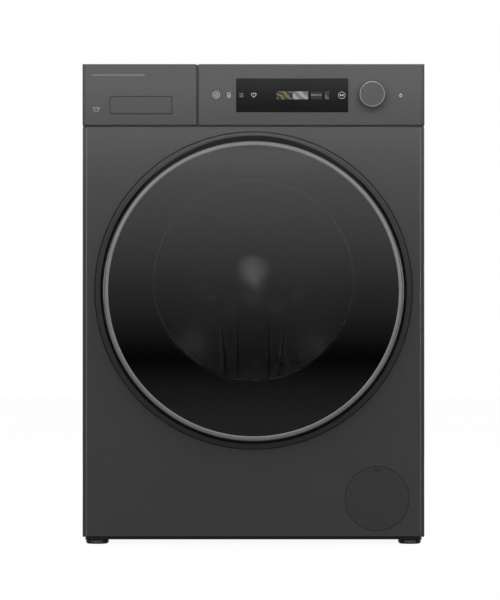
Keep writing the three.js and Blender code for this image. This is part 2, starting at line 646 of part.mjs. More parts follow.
// ---- Door; pieces are in the frame of the door centre at the panel face, -Y outwards ----
function doorFrame() {
  const wall = 2.5;
  const front = -26.6;
  const back = 14;
  const dish = turned([
    [0, back], [244, back], [247, -5], [262.5, -20], [262.5, front], [236, front], [236, front + wall],
    [259, front + wall], [244.3, -6.4], [241.5, back - wall], [0, back - wall],
  ]);
  const bowlHole = moved(rod(178, 0, 30, ROUND), 0, 0, BOWL_RISE);
  const hingeBoss = box(-222, -209, HINGE.y - 0.1, back - 1, -30, 30);
  const hingePocket = box(-290, -224, front + wall, 30, -HINGE.half - 2, HINGE.half + 2);
  const hookLug = (x) => box(x, x + 5, -14, back - 1, -9, 9);
  const hookBore = rodAlongX(HOOK.bore, HOOK.x - 30, HOOK.x + 30, HOOK.y, 0);
  const hookSlot = box(HOOK.x - 5.5, HOOK.x + 5.5, 5, 30, -15, 17);
  const body = join(cut(dish, bowlHole, hingePocket), hingeBoss, hookLug(HOOK.x - 12), hookLug(HOOK.x + 7));
  return cut(body, hookBore, hookSlot);
}

const doorTrimRing = () =>
  turned([
    [GLASS_R + GAP, -31], [257.5, -DOOR_PROUD], [261.5, -DOOR_PROUD + 0.4], [DOOR_R, -29.6],
    [DOOR_R, -27], [GLASS_R + GAP, -27],
  ]);

const doorGlass = () => rod(GLASS_R, -31.4, -27, ROUND);

// The blown glass bowl, clamped by its flange, that closes the porthole.
function doorBowl() {
  const bowl = turned([
    [0, 139], [108, 134], [141, 122], [155, 100], [170, 30], [175, 11.1], [190, 11.1], [190, 7.5],
    [171, 7.5], [150.5, 97], [137, 117.5], [106, 129], [0, 134],
  ]);
  return moved(bowl, 0, 0, BOWL_RISE);
}

// The fixed half of the hinge: a plate on the recess floor with two arms out to the pin.
function hingeBracket() {
  const { x, y, bore, barrel, armLow, armHigh } = HINGE;
  const floor = RECESS_DEPTH - GAP;
  const plate = box(x - 3.5, x + 23, floor - 2.5, floor, -armHigh - 16, armHigh + 16);
  const arm = (low) =>
    join(
      box(x - 3.5, x + 3.5, y, floor - 1, low, low + armHigh - armLow),
      moved(post(barrel, low, low + armHigh - armLow, 18), x, y, 0),
    );
  const hole = moved(post(bore, -80, 80, 18), x, y, 0);
  return cut(join(plate, arm(armLow), arm(-armHigh)), hole);
}

const hingePin = () => moved(post(HINGE.pin, -HINGE.half, HINGE.half, 18), HINGE.x, HINGE.y, 0);

// The moving half of the hinge: a barrel between the arms, and a leaf screwed to the door frame.
function hingeLeaf() {
  const { x, y, bore, barrel, armLow } = HINGE;
  const half = armLow - 1;
  const leaf = box(x, -211, y - 4.5, y - 0.5, -34, 34);
  return cut(join(moved(post(barrel, -half, half, 18), x, y, 0), leaf), moved(post(bore, -80, 80, 18), x, y, 0));
}

// The sprung hook on the door, with its own trunnions.
function latchHook() {
  const profile = outline([
    [-12, -6], [30, -6], [38, -1], [40, 3], [38, 9], [33, 15], [30, 15], [30, 4], [-2, 4], [-12, 2],
  ]);
  const plate = new THREE.ExtrudeGeometry(profile, { depth: 5, bevelEnabled: false });
  plate.applyMatrix4(new THREE.Matrix4().set(0, 0, 1, 0, 1, 0, 0, 0, 0, 1, 0, 0, 0, 0, 0, 1));
  plate.translate(HOOK.x - 2.5, 0, 0);
  return join(solidOf(plate), rodAlongX(HOOK.pin, HOOK.x - 11.5, HOOK.x + 11.5, HOOK.y, 0));
}

// The lock behind the recess floor: a box with a slot whose upper edge the hook catches on.
function doorLock() {
  const front = RECESS_DEPTH + SHEET + GAP;
  const body = box(HOOK.x - 20, HOOK.x + 30, front, front + 28, -50, 50);
  const cavity = box(HOOK.x - 8, HOOK.x + 8, front + 3.5, front + 22, -24, 22);
  const slot = box(HOOK.x - 8, HOOK.x + 8, front - 1, front + 5, -18, 9);
  return cut(body, cavity, slot);
}

// ---- Drain pump behind the flap; pieces are in the frame of the flap centre at the panel face ----
// The flap hangs on one swan neck, which reaches round the lower edge of the panel's hole to the pivot.
function filterDoor() {
  const { flap } = FILTER;
  const { y, z, r } = FILTER_PIVOT;
  const disc = turned([[0, 0], [flap, 0], [flap - 0.6, 1.8], [0, 1.8]], ROUND);
  const half = 7;
  const bend = y + 9;
  const neck = [
    box(-half, half, 1, bend, -50, -42),
    box(-half, half, bend - 3, bend, z - r, -42),
    box(-half, half, y - r, bend, z - r, z + r),
  ];
  const axle = rodAlongX(r, -10.6, 10.6, y, z, 10);
  const fingerNotch = moved(rod(4, -1, 1.1), 0, 0, flap - 8);
  return cut(join(disc, ...neck, axle), fingerNotch);
}

function drainPump() {
  const { well } = FILTER;
  const body = turned([
    [well + 2, 1.6], [well + 2, 28], [38, 28], [38, 140], [30, 140], [30, 194], [0, 194], [0, 136], [33, 136],
    [33, 26], [well, 26], [well, 1.6],
  ], MEDIUM);
  const inlet = moved(post(17, 34, 62), 0, 100, 0);
  const chamber = rod(33, 30, 136, MEDIUM);
  const bore = moved(post(13, 20, 70), 0, 100, 0);
  const outlet = box(-58, -30, 108, 132, 0, 22);
  const leg = box(-22, 22, 104, 110, BASE_Z + 2 + GAP - FILTER.z, -30);
  const { y, z, r } = FILTER_PIVOT;
  const neckRoom = box(-9, 9, 1, y + 11, z - 6, -52);
  const hingeEar = (x) => box(x, x + 3, 1.6, y + 8, z - 2.8, z + 5);
  const hingeBore = rodAlongX(r + GAP, -30, 30, y, z, 10);
  const housing = cut(join(body, inlet, outlet, leg), chamber, bore, neckRoom);
  return cut(join(housing, hingeEar(-11), hingeEar(8)), hingeBore);
}

// The lint filter: a cap with a grip bar, and a strainer that reaches back to the impeller.
function pumpFilter() {
  const cap = turned([
    [0, 22], [31, 22], [32, 24], [32, 30], [25, 34], [25, 118], [21, 118], [21, 40], [0, 40],
  ], MEDIUM);
  return join(cap, box(-24, 24, 12, 23, -4, 4));
}

// A hose from the sump of the tub to the pump, in the frame of the machine.
function sumpHose() {
  const top = DRUM_Z - 246.4;
  const pumpTop = FILTER.z + 62.4;
  const pumpY = PANEL_Y + 100;
  return bar(
    [
      [SUMP.x, SUMP.y, top], [SUMP.x, SUMP.y, top - 14], [SUMP.x + 12, SUMP.y - 22, top - 34],
      [FILTER.x - 14, pumpY + 24, pumpTop + 32], [FILTER.x, pumpY, pumpTop + 12], [FILTER.x, pumpY, pumpTop],
    ],
    16, 16, 12,
  );
}

// ---- Assembly ----
place("front_panel", frontPanel(), graphite);
place("right_side_panel", sidePanel(), graphite);
place("left_side_panel", sidePanel().mirror([1, 0, 0]), graphite);
place("rear_panel", rearPanel(), zincSteel);
place("rear_service_cover", rearServiceCover(), zincSteel, drumAxis);
place("base_tray", baseTray(), blackPlastic);
place("top_panel", topPanel(), graphite);
place("front_crossbar", frontCrossbar(), zincSteel);
for (const { name, x, y } of footSpots()) place(name, foot(), blackRubber).position.set(x, y, 0);

place("control_panel", controlPanel(), fasciaGraphite);
place("display_window", displayWindow(), tintedGlass);
place("control_board", controlBoard(), circuitBoard);
place("program_knob", knob(), fasciaGraphite, knobFace);
place("power_button", powerButton(), fasciaGraphite, powerFace);

place("drawer_front", drawerFront(), fasciaGraphite);
place("drawer_flap", drawerFlap(), fasciaGraphite);
place("detergent_tray", detergentTray(), greyPlastic);
place("dispenser_housing", dispenserHousing(), greyPlastic);
place("dispenser_hose", dispenserHose(), blackRubber);
place("water_inlet_valve", inletValve(), greyPlastic);
place("power_cord_gland", powerCordGland(), blackPlastic);

place("tub_front", tubFront(), tubPlastic, drumAxis);
place("tub_rear", tubRear(), tubPlastic, drumAxis);
place("front_bearing", bearing(FRONT_BEARING), zincSteel, drumAxis);
place("rear_bearing", bearing(REAR_BEARING), zincSteel, drumAxis);
place("upper_counterweight", upperCounterweight(), concrete, drumAxis);
place("front_counterweight", frontCounterweight(), concrete, drumAxis);
place("motor_stator", stator(), zincSteel, drumAxis);
place("water_heater", heater(), stainless, drumAxis);
place("door_gasket", doorGasket(), greyRubber, drumAxis);

for (const [side, sign] of [["left", -1], ["right", 1]]) {
  const { tube, rodPiece } = dampers();
  place(`damper_tube_${side}`, tube, greyPlastic).position.set(sign * DAMPER.x, DAMPER.y, 0);
  place(`damper_rod_${side}`, rodPiece, zincSteel).position.set(sign * DAMPER.x, DAMPER.y, 0);
  place(`suspension_spring_${side}`, suspensionSpring(), zincSteel).position.set(sign * SPRING.x, SPRING.y, 0);
}

place("drum_shell", drumShell(), stainless, drumAxis);
place("drum_back", drumBack(), stainless, drumAxis);
place("drum_spider", drumSpider(), castAluminium, drumAxis);
place("drum_shaft", drumShaft(), zincSteel, drumAxis);
place("motor_rotor", rotor(), zincSteel, drumAxis);
for (let i = 0; i < LIFTERS; i++) {
  place(`drum_lifter_${i + 1}`, lifter(), stainless, drumAxis).rotation.y = (i * 2 * Math.PI) / LIFTERS;
}

place("door_frame", doorFrame(), blackPlastic, doorFace);
place("door_trim_ring", doorTrimRing(), trimMetal, doorFace);
place("door_glass", doorGlass(), tintedGlass, doorFace);
place("door_bowl", doorBowl(), clearGlass, doorFace);
place("hinge_bracket", hingeBracket(), zincSteel, doorFace);
place("hinge_pin", hingePin(), zincSteel, doorFace);
place("hinge_leaf", hingeLeaf(), zincSteel, doorFace);
place("latch_hook", latchHook(), zincSteel, doorFace);
place("door_lock", doorLock(), blackPlastic, doorFace);

place("filter_door", filterDoor(), graphite, filterFace);
place("drain_pump", drainPump(), greyPlastic, filterFace);
place("pump_filter", pumpFilter(), greyPlastic, filterFace);
place("sump_hose", sumpHose(), blackRubber);

export default machine;
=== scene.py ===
import json
import math
from collections import namedtuple

import bmesh
import bpy
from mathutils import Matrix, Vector

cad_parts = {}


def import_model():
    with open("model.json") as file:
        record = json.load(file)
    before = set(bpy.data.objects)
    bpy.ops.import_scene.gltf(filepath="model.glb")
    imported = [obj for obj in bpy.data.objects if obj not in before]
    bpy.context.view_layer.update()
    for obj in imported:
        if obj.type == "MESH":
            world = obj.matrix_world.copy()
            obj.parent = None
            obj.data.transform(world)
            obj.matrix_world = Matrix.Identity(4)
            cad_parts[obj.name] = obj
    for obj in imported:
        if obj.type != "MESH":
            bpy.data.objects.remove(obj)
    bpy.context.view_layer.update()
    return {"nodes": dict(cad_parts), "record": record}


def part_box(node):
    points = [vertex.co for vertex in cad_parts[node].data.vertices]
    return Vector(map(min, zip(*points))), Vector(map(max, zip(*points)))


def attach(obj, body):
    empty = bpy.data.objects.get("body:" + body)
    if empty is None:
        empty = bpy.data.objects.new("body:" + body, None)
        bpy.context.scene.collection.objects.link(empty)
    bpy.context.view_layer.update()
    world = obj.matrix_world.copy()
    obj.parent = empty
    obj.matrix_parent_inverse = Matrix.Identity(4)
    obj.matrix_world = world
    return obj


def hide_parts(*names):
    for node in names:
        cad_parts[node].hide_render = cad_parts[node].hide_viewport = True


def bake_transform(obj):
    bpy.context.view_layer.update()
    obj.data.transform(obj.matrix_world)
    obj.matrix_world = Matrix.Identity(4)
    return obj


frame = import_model()

# Shapes below are written in millimetres, in the frame of the CAD model, and scaled to metres once.
MM = 0.001
Box = namedtuple("Box", "x0 y0 z0 x1 y1 z1")
Circle = namedtuple("Circle", "x z r")


def cad(node):
    low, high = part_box(node)
    return Box(*(round(v / MM, 3) for v in (*low, *high)))


def circle_of(node):
    b = cad(node)
    return Circle((b.x0 + b.x1) / 2, (b.z0 + b.z1) / 2, (b.x1 - b.x0) / 2)


PANEL = cad("front_panel")
FACE_Y = PANEL.y0  # the face of the front panel and of both fascia pieces
CONTROL = cad("control_panel")
DRAWER = cad("drawer_front")
FLAP = cad("drawer_flap")
DISPLAY = cad("display_window")
DISPLAY_Z0 = DISPLAY.z0 - 1.5  # the display glass reaches lower than in CAD
SEAM_DROP = 1.1  # the painted faces meet this much lower than the folded flanges behind them
RING_DROP = 0.7  # the trim ring sits this much lower than the glass it holds
RING_TRIM = 1.6  # and is this much smaller than in CAD
TOP = cad("top_panel")
REAR = cad("rear_panel")
TRAY = cad("detergent_tray")
RING = circle_of("door_trim_ring")
GLASS = circle_of("door_glass")
DRUM = circle_of("drum_shell")
KNOB = circle_of("program_knob")
POWER = circle_of("power_button")
DISH_R = RING.r + 14.5
DISH_FLOOR_R = RING.r + 4
DISH_DEPTH = 22
PORTHOLE_R = 182
FILTER = Circle(cad("filter_door").x1 - 56.4, cad("filter_door").z1 - 56.4, 56.4)


# ---------------------------------------------------------------- mesh helpers

def softened(points, cut, closed=True, steps=4):
    """The same 2-D line with each corner rounded, starting up to cut from the corner."""
    line = []
    for i, point in enumerate(points):
        here = Vector(point)
        if not closed and i in (0, len(points) - 1):
            line.append(tuple(here))
            continue
        before = Vector(points[i - 1]) - here
        after = Vector(points[(i + 1) % len(points)]) - here
        reach = min(cut, 0.45 * before.length, 0.45 * after.length)
        start = here + before.normalized() * reach
        end = here + after.normalized() * reach
        for k in range(steps + 1):
            s = k / steps
            line.append(tuple(start * (1 - s) ** 2 + here * 2 * s * (1 - s) + end * s * s))
    return line


def polar(x, z, r, turn):
    """The point at distance r from (x, z), at the angle turn in radians."""
    return (x + r * math.cos(turn), z + r * math.sin(turn))


def arc(x, z, r, start, end, count=24):
    turn = math.radians(end - start) / count
    return [polar(x, z, r, math.radians(start) + turn * i) for i in range(count + 1)]


def circle(x, z, r, count=128):
    return [polar(x, z, r, 2 * math.pi / count * i) for i in range(count)]


def rounded_rect(x0, x1, z0, z1, r, steps=5):
    corners = [(x1 - r, z0 + r, -90), (x1 - r, z1 - r, 0), (x0 + r, z1 - r, 90), (x0 + r, z0 + r, 180)]
    return [point for x, z, start in corners for point in arc(x, z, r, start, start + 90, steps)]


def inset_rect(x0, x1, z0, z1, inset, r, steps=5):
    return rounded_rect(x0 + inset, x1 - inset, z0 + inset, z1 - inset, r, steps)


def at_y(points, y):
    return [(a, y, b) for a, b in points]


def at_x(points, x):
    return [(x, a, b) for a, b in points]


def at_z(points, z):
    return [(a, b, z) for a, b in points]


def skin(bm, loops, closed=False, caps=False):
    """Joins rings of points, each to the next, and returns their vertices. A ring may be a single point."""
    rings = [[bm.verts.new(p) for p in loop] for loop in loops]
    pairs = list(zip(rings, rings[1:]))
    if closed:
        pairs.append((rings[-1], rings[0]))
    for a, b in pairs:
        count = max(len(a), len(b))
        for i in range(count):
            j = (i + 1) % count
            corners = [a[i % len(a)], a[j % len(a)], b[j % len(b)], b[i % len(b)]]
            corners = list(dict.fromkeys(corners))
            if len(corners) > 2:
                bm.faces.new(corners)
    if caps:
        for ring in (rings[0], rings[-1]):
            if len(ring) > 2:
                bm.faces.new(ring)
    return rings


def well(bm, outline, *depths, caps=False):
    """The same outline at several depths along Y, such as the wall of an opening, joined up."""
    return skin(bm, [at_y(outline, y) for y in depths], caps=caps)


def fill(bm, *rings):
    """Fills the flat area between an outer ring of vertices and the rings inside it."""
    edges = []
    for ring in rings:
        for a, b in zip(ring, ring[1:] + ring[:1]):
            edges.append(bm.edges.get((a, b)) or bm.edges.new((a, b)))
    bmesh.ops.triangle_fill(bm, edges=edges, use_beauty=True)


def new_object(name, data):
    obj = bpy.data.objects.new(name, data)
    bpy.context.scene.collection.objects.link(obj)
    return obj


def piece(name, bm, material, body, nodes=(), sharp=34, wall=0, facing=None, bevel=0):
    """Makes the object, lets it ride on its body and stand for its CAD nodes. wall thickens an open sheet
    away from the side that faces facing. A piece that bends between two bodies has no body here."""
    bmesh.ops.remove_doubles(bm, verts=bm.verts, dist=0.002)
    bmesh.ops.dissolve_degenerate(bm, dist=0.002, edges=bm.edges)
    bmesh.ops.recalc_face_normals(bm, faces=bm.faces)
    if facing is not None:
        biggest = max(bm.faces, key=lambda f: f.calc_area() * abs(f.normal.dot(Vector(facing))))
        if biggest.normal.dot(Vector(facing)) < 0:
            bmesh.ops.reverse_faces(bm, faces=bm.faces)
    for edge in bm.edges:
        edge.smooth = len(edge.link_faces) == 2 and edge.calc_face_angle(0) < math.radians(sharp)
    for face in bm.faces:
        face.smooth = True
    bmesh.ops.scale(bm, vec=(MM, MM, MM), verts=bm.verts)
    mesh = bpy.data.meshes.new(name)
    bm.to_mesh(mesh)
    bm.free()
    obj = new_object(name, mesh)
    mesh.materials.append(material)
    if wall:
        solidify = obj.modifiers.new("wall", "SOLIDIFY")
        solidify.thickness = wall * MM
        solidify.offset = -1
        solidify.use_even_offset = True
    if bevel:
        rounding = obj.modifiers.new("edges", "BEVEL")
        rounding.width = bevel * MM
        rounding.segments = 3
        rounding.limit_method = "ANGLE"
        rounding.angle_limit = math.radians(sharp)
        rounding.harden_normals = True
    weighted = obj.modifiers.new("flat_faces", "WEIGHTED_NORMAL")
    weighted.keep_sharp = True
    weighted.weight = 80
    if body:
        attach(obj, body)
    if nodes:
        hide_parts(*nodes)
    return obj


def spun(bm, profile, x, z, sides=128, closed=True, soft=0.6, axis="y", steps=4, base=0):
    """Turns a profile of [radius, distance from base along the axis] about an axis through (x, z)."""
    line = softened(profile, soft, closed, steps) if soft else profile
    place = {"x": at_x, "y": at_y, "z": at_z}[axis]
    loops = [place(circle(x, z, r, sides) if r > 1e-4 else [(x, z)], base + along) for r, along in line]
    return skin(bm, loops, closed)


def turned(name, profile, centre, material, body, nodes=(), slot=None, **shape):
    bm = bmesh.new()
    spun(bm, profile, *centre, **shape)
    return piece(name, bm, material, body, nodes)


def brick(bm, x0, x1, y0, y1, z0, z1, r=0.8):
    """A block with its upright edges rounded in plan; piece(bevel=...) rounds the rest."""
    plan = rounded_rect(x0, x1, y0, y1, min(r, (x1 - x0) / 2.01, (y1 - y0) / 2.01), 3)
    skin(bm, [at_z(plan, z0), at_z(plan, z1)], caps=True)


def stroke(bm, points, width, y0, y1, closed=False):
    """A thin raised line of the given width on a plane facing the front."""
    sections = []
    last = len(points) - 1
    for i, (x, z) in enumerate(points):
        before = points[i - 1] if closed or i else points[i]
        after = points[(i + 1) % len(points)] if closed or i < last else points[i]
        along = Vector((after[0] - before[0], after[1] - before[1])).normalized() * width / 2
        a, b = (x - along.y, z + along.x), (x + along.y, z - along.x)
        sections.append([(a[0], y0, a[1]), (b[0], y0, b[1]), (b[0], y1, b[1]), (a[0], y1, a[1])])
    skin(bm, sections, closed=closed, caps=not closed)


# ---------------------------------------------------------------- materials

def node_tree(name):
    material = bpy.data.materials.new(name)
    material.use_nodes = True
    tree = material.node_tree
    tree.nodes.clear()
    return material, tree


def add(tree, kind, *inputs, **values):
    """A new node. Its inputs are given in order or by name, its settings by name. An input that is another
    node's output becomes a link."""
    node = tree.nodes.new("ShaderNode" + kind)
    named = {}
    for key, value in values.items():
        if hasattr(node, key):
            setattr(node, key, value)
        else:
            named[key.replace("_", " ")] = value
    for key, value in (*enumerate(inputs), *named.items()):
        if isinstance(value, bpy.types.NodeSocket):
            tree.links.new(value, node.inputs[key])
        else:
            node.inputs[key].default_value = value
    return node


def noise(tree, scale, detail=3.0, stretch=(1, 1, 1)):
    """Noise in the piece's own coordinates, which are metres in the frame."""
    mapping = add(tree, "Mapping", add(tree, "TexCoord").outputs["Object"], Scale=stretch)
    return add(tree, "TexNoise", mapping.outputs["Vector"], Scale=scale, Detail=detail).outputs["Fac"]


def ranged(tree, source, low, high):
    """Noise spread out to run from low to high."""
    return add(tree, "MapRange", source, 0.3, 0.7, low, high).outputs["Result"]


def bumped(tree, source, strength, distance):
    return add(tree, "Bump", Height=source, Strength=strength, Distance=distance).outputs["Normal"]


def mixed(tree, factor, first, second):
    """Two colours mixed by a factor."""
    node = add(tree, "Mix", factor, data_type="RGBA")
    node.inputs[6].default_value = (*first, 1)
    node.inputs[7].default_value = (*second, 1)
    return node.outputs[2]


def tinted(tree, source, colour, spread):
    """The colour, lighter and darker by spread as source varies."""
    darker = [c * (1 - spread) for c in colour]
    lighter = [c * (1 + spread) for c in colour]
    return mixed(tree, ranged(tree, source, 0, 1), darker, lighter)


def surface(name, colour, roughness, metallic=0.0, spread=0.06, blotch=12, grain=900, rough_spread=0.06,
            bump=0.1, depth=0.0001, stretch=(1, 1, 1), **sockets):
    """A Principled material with slow colour variation, and fine grain in its roughness and bump."""
    material, tree = node_tree(name)
    fine = noise(tree, grain, 2, stretch)
    shader = add(tree, "BsdfPrincipled", Metallic=metallic,
                 Base_Color=tinted(tree, noise(tree, blotch), colour, spread),
                 Roughness=ranged(tree, fine, roughness - rough_spread, roughness + rough_spread),
                 Normal=bumped(tree, fine, bump, depth), **sockets)
    add(tree, "OutputMaterial", shader.outputs[0])
    return material


def ringed(name, colour, roughness, centre, metallic=1.0, pitch=900, bump=0.12):
    """Metal turned or brushed in circles round an axis along Y through centre, in millimetres."""
    material, tree = node_tree(name)
    flat = add(tree, "VectorMath", add(tree, "TexCoord").outputs["Object"], (1, 0, 1), operation="MULTIPLY")
    axis = (centre[0] * MM, 0, centre[1] * MM)
    reach = add(tree, "VectorMath", flat.outputs["Vector"], axis, operation="DISTANCE")
    lines = add(tree, "TexNoise", noise_dimensions="1D", W=reach.outputs["Value"], Scale=pitch, Detail=2.0)
    lines = lines.outputs["Fac"]
    shader = add(tree, "BsdfPrincipled", Metallic=metallic,
                 Base_Color=tinted(tree, noise(tree, 9), colour, 0.08),
                 Roughness=ranged(tree, lines, roughness - 0.05, roughness + 0.05),
                 Normal=bumped(tree, lines, bump, 0.0001))
    add(tree, "OutputMaterial", shader.outputs[0])
    return material


def glass(name, tint, roughness, ior, most=1.0):
    """Thin glass that lets straight light through and mirrors by its angle, with a faint haze of smudges."""
    material, tree = node_tree(name)
    clear = add(tree, "BsdfTransparent", tinted(tree, noise(tree, 5), tint, 0.03))
    haze = ranged(tree, noise(tree, 14), roughness, roughness + 0.02)
    gloss = add(tree, "BsdfGlossy", Color=(1, 1, 1, 1), Roughness=haze)
    share = add(tree, "Fresnel", IOR=ior)
    limit = add(tree, "Math", share.outputs[0], most, operation="MINIMUM")
    blend = add(tree, "MixShader", limit.outputs[0], clear.outputs[0], gloss.outputs[0])
    add(tree, "OutputMaterial", blend.outputs[0])
    return material


def backlit(material, tree, tone, strength):
    shader = add(tree, "BsdfPrincipled", Roughness=0.4, Base_Color=tone, Emission_Color=tone,
                 Emission_Strength=strength)
    add(tree, "OutputMaterial", shader.outputs[0])
    return material


def glowing(name, colour, strength):
    """A printed symbol, lit from behind."""
    material, tree = node_tree(name)
    return backlit(material, tree, tinted(tree, noise(tree, 700), colour, 0.15), strength)


def picture(name, dark, light, scale, strength, distortion):
    """An abstract wavy picture on the display, lit from behind."""
    material, tree = node_tree(name)
    where = add(tree, "TexCoord").outputs["Object"]
    waves = add(tree, "TexWave", where, bands_direction="DIAGONAL", Scale=scale, Distortion=distortion,
                Detail=2.0)
    return backlit(material, tree, mixed(tree, waves.outputs["Fac"], dark, light), strength)


def grey(value, warm=0.0):
    return (value * (1 + warm), value, value * (1 - warm))


PAINT = surface("graphite_paint", grey(0.081, -0.002), 0.36, 0.0, spread=0.03, blotch=7, grain=1500,
                rough_spread=0.05, bump=0.12, depth=0.00006, Specular_IOR_Level=0.35)
FASCIA = surface("graphite_fascia", grey(0.066, -0.01), 0.48, 0.0, spread=0.03, blotch=9, grain=1900,
                 rough_spread=0.05, bump=0.08, depth=0.00005, Specular_IOR_Level=0.4)
# Darker than the panel paint: painted shade for the seams behind the joints.
SEAM_SHADE_PAINT = surface("painted_seam_shade", grey(0.055), 0.55, spread=0.06, grain=1500, Specular_IOR_Level=0.2)
COLLAR = surface("dark_collar", grey(0.07, -0.01), 0.5, spread=0.04, grain=1500, bump=0.1, depth=0.00006,
                 Specular_IOR_Level=0.35)
DOOR_PLASTIC = surface("door_plastic", grey(0.01), 0.42, spread=0.1, blotch=9, grain=2200, bump=0.03,
                       Specular_IOR_Level=0.25)
BLACK_PLASTIC = surface("black_plastic", grey(0.012), 0.5, spread=0.15, blotch=20, grain=1400, bump=0.2)
GREY_PLASTIC = surface("grey_plastic", grey(0.5, -0.01), 0.45, spread=0.05, blotch=14, grain=1200,
                       bump=0.12)
LIFTER_PLASTIC = surface("lifter_plastic", grey(0.2, -0.01), 0.4, spread=0.05, blotch=16, grain=1200,
                         bump=0.12)
TUB_PLASTIC = surface("tub_plastic", grey(0.33), 0.6, spread=0.1, blotch=18, grain=700, bump=0.25)
TINTED_GLASS = glass("tinted_glass", grey(0.3), 0.015, 1.52)
BOWL_GLASS = glass("bowl_glass", (0.96, 0.97, 0.965), 0.01, 1.45, most=0.12)
DISPLAY_GLASS = surface("display_glass", grey(0.006), 0.03, spread=0.2, grain=500, rough_spread=0.01,
                        bump=0.0,
                        Specular_IOR_Level=0.5)
TRIM_METAL = ringed("satin_trim_metal", grey(0.36), 0.3, (RING.x, RING.z), pitch=1400, bump=0.06)
KNOB_METAL = ringed("knob_rim_metal", grey(0.62), 0.25, (KNOB.x, KNOB.z), pitch=3000, bump=0.05)
KNOB_FACE = ringed("knob_face", grey(0.075), 0.42, (KNOB.x, KNOB.z), metallic=0.3, pitch=2600, bump=0.12)
DRUM_BACK = ringed("drum_back_steel", grey(0.56), 0.34, (DRUM.x, DRUM.z), pitch=500, bump=0.05)
STAINLESS = surface("stainless", grey(0.55), 0.3, 1.0, spread=0.05, grain=500, rough_spread=0.07, bump=0.05,
                    stretch=(1, 0.06, 1))
ZINC = surface("zinc_steel", grey(0.42), 0.45, 1.0, spread=0.16, blotch=90, grain=260, rough_spread=0.1,
               bump=0.06)
ALUMINIUM = surface("cast_aluminium", grey(0.45), 0.5, 1.0, spread=0.08, blotch=50, grain=700, bump=0.3)
GREY_RUBBER = surface("grey_rubber", grey(0.11), 0.62, spread=0.08, blotch=25, grain=1500, bump=0.2)
BLACK_RUBBER = surface("black_rubber", grey(0.018), 0.7, spread=0.2, blotch=40, grain=1300, bump=0.3)
CONCRETE = surface("concrete", grey(0.32, 0.03), 0.9, spread=0.22, blotch=45, grain=320, bump=0.6,
                   depth=0.0006)
BOARD = surface("circuit_board", (0.02, 0.13, 0.05), 0.45, spread=0.25, blotch=160, grain=600, bump=0.1)
IRON = surface("motor_iron", grey(0.2, 0.05), 0.5, 0.9, spread=0.2, blotch=60, grain=500, bump=0.2)
FOOT_PLASTIC = surface("foot_plastic", grey(0.16), 0.5, spread=0.1, grain=1300, bump=0.2)
NAME_PLATE = surface("name_plate_satin", grey(0.21), 0.4, 0.6, spread=0.1, grain=1500, stretch=(0.1, 1, 1))
BLUE_PLASTIC = surface("blue_plastic", (0.05, 0.1, 0.2), 0.4, spread=0.06, grain=1200, bump=0.12)
BORDER_PRINT = surface("black_border_print", grey(0.004), 0.5, spread=0.3, grain=900,
                       Specular_IOR_Level=0.1)
SYMBOL = glowing("symbol_light", grey(0.5), 0.5)
SYMBOL_DIM = glowing("symbol_dim", grey(0.16), 0.5)
PRINT = glowing("pale_print", grey(0.5), 0.08)

FINISHES = {
    "painted_panel": PAINT, "fascia_plastic": FASCIA, "black_plastic": BLACK_PLASTIC,
    "grey_plastic": GREY_PLASTIC,
    "lifter_plastic": LIFTER_PLASTIC, "tub_plastic": TUB_PLASTIC, "tinted_glass": TINTED_GLASS,
    "bowl_glass": BOWL_GLASS, "trim_metal": TRIM_METAL, "stainless": STAINLESS, "zinc_steel": ZINC,
    "cast_aluminium": ALUMINIUM, "grey_rubber": GREY_RUBBER, "black_rubber": BLACK_RUBBER,
    "concrete": CONCRETE,
    "circuit_board": BOARD, "motor_iron": IRON,
}


# ---------------------------------------------------------------- cabinet

def fold(outline, depth, width, cut=1.0):
    """Loops from the back of a folded edge round to the face. outline(inset, y) gives a loop."""
    profile = [(0, FACE_Y + depth), (0, FACE_Y + width), (width, FACE_Y), (width + 4, FACE_Y)]
    return [outline(inset, y) for inset, y in softened(profile, cut, closed=False)]


def front_panel():
    """The folded front sheet with the dish round the door and its three openings."""
    def outline(inset, y):
        low = 0.3 * min(inset, 5)
        top = PANEL.z1 - SEAM_DROP - 0.4 * low
        return at_y(rounded_rect(PANEL.x0 + inset, PANEL.x1 - inset, PANEL.z0 + low, top, 1.6), y)

    bm = bmesh.new()
    deep = FACE_Y + DISH_DEPTH
    edge = skin(bm, fold(outline, 20, 6.8, 2.8))
    wall = [(DISH_R + 4, FACE_Y), (DISH_R, FACE_Y), (DISH_FLOOR_R, deep), (DISH_FLOOR_R - 6, deep)]
    wall = softened(wall, 2.2, closed=False, steps=6)
    dish = skin(bm, [at_y(circle(RING.x, RING.z, r, 192), y) for r, y in wall])
    port = well(bm, circle(DRUM.x, DRUM.z, PORTHOLE_R), deep, deep + 1)
    lock = cad("latch_hook")
    middle = (lock.x0 + lock.x1) / 2
    opening = rounded_rect(middle - 6.5, middle + 6.5, RING.z - 17.5, RING.z + 17.5, 2)
    slot = well(bm, opening, deep, deep + 1)
    rim = [(0.75, 0), (0.5, 0.1), (0.42, 0.5), (0.42, 1.6)]
    hole = skin(bm, [at_y(circle(FILTER.x, FILTER.z, FILTER.r + r), FACE_Y + y) for r, y in rim])
    fill(bm, edge[-1], dish[0], hole[0])
    fill(bm, dish[-1], port[0], slot[0])
    piece("front_panel_sheet", bm, PAINT, "cabinet", ["front_panel"], wall=1.0,
          facing=(0, -1, 0))


def dish_collar():
    """The dark trim ring in the mouth of the dish, rolled a little proud of the panel."""
    rolled = [(-0.4, 2.2), (-1.6, 0.4), (-4, -0.5), (-10.1, -0.9), (-10.6, -0.3), (-10.6, 12), (-6.2, 12.3),
              (-1.3, 2.6)]
    profile = [(DISH_R + across, along) for across, along in rolled]
    turned("dish_collar", profile, (RING.x, RING.z), COLLAR, "cabinet", slot="painted_panel", sides=256,
           soft=0.8,
           base=FACE_Y)


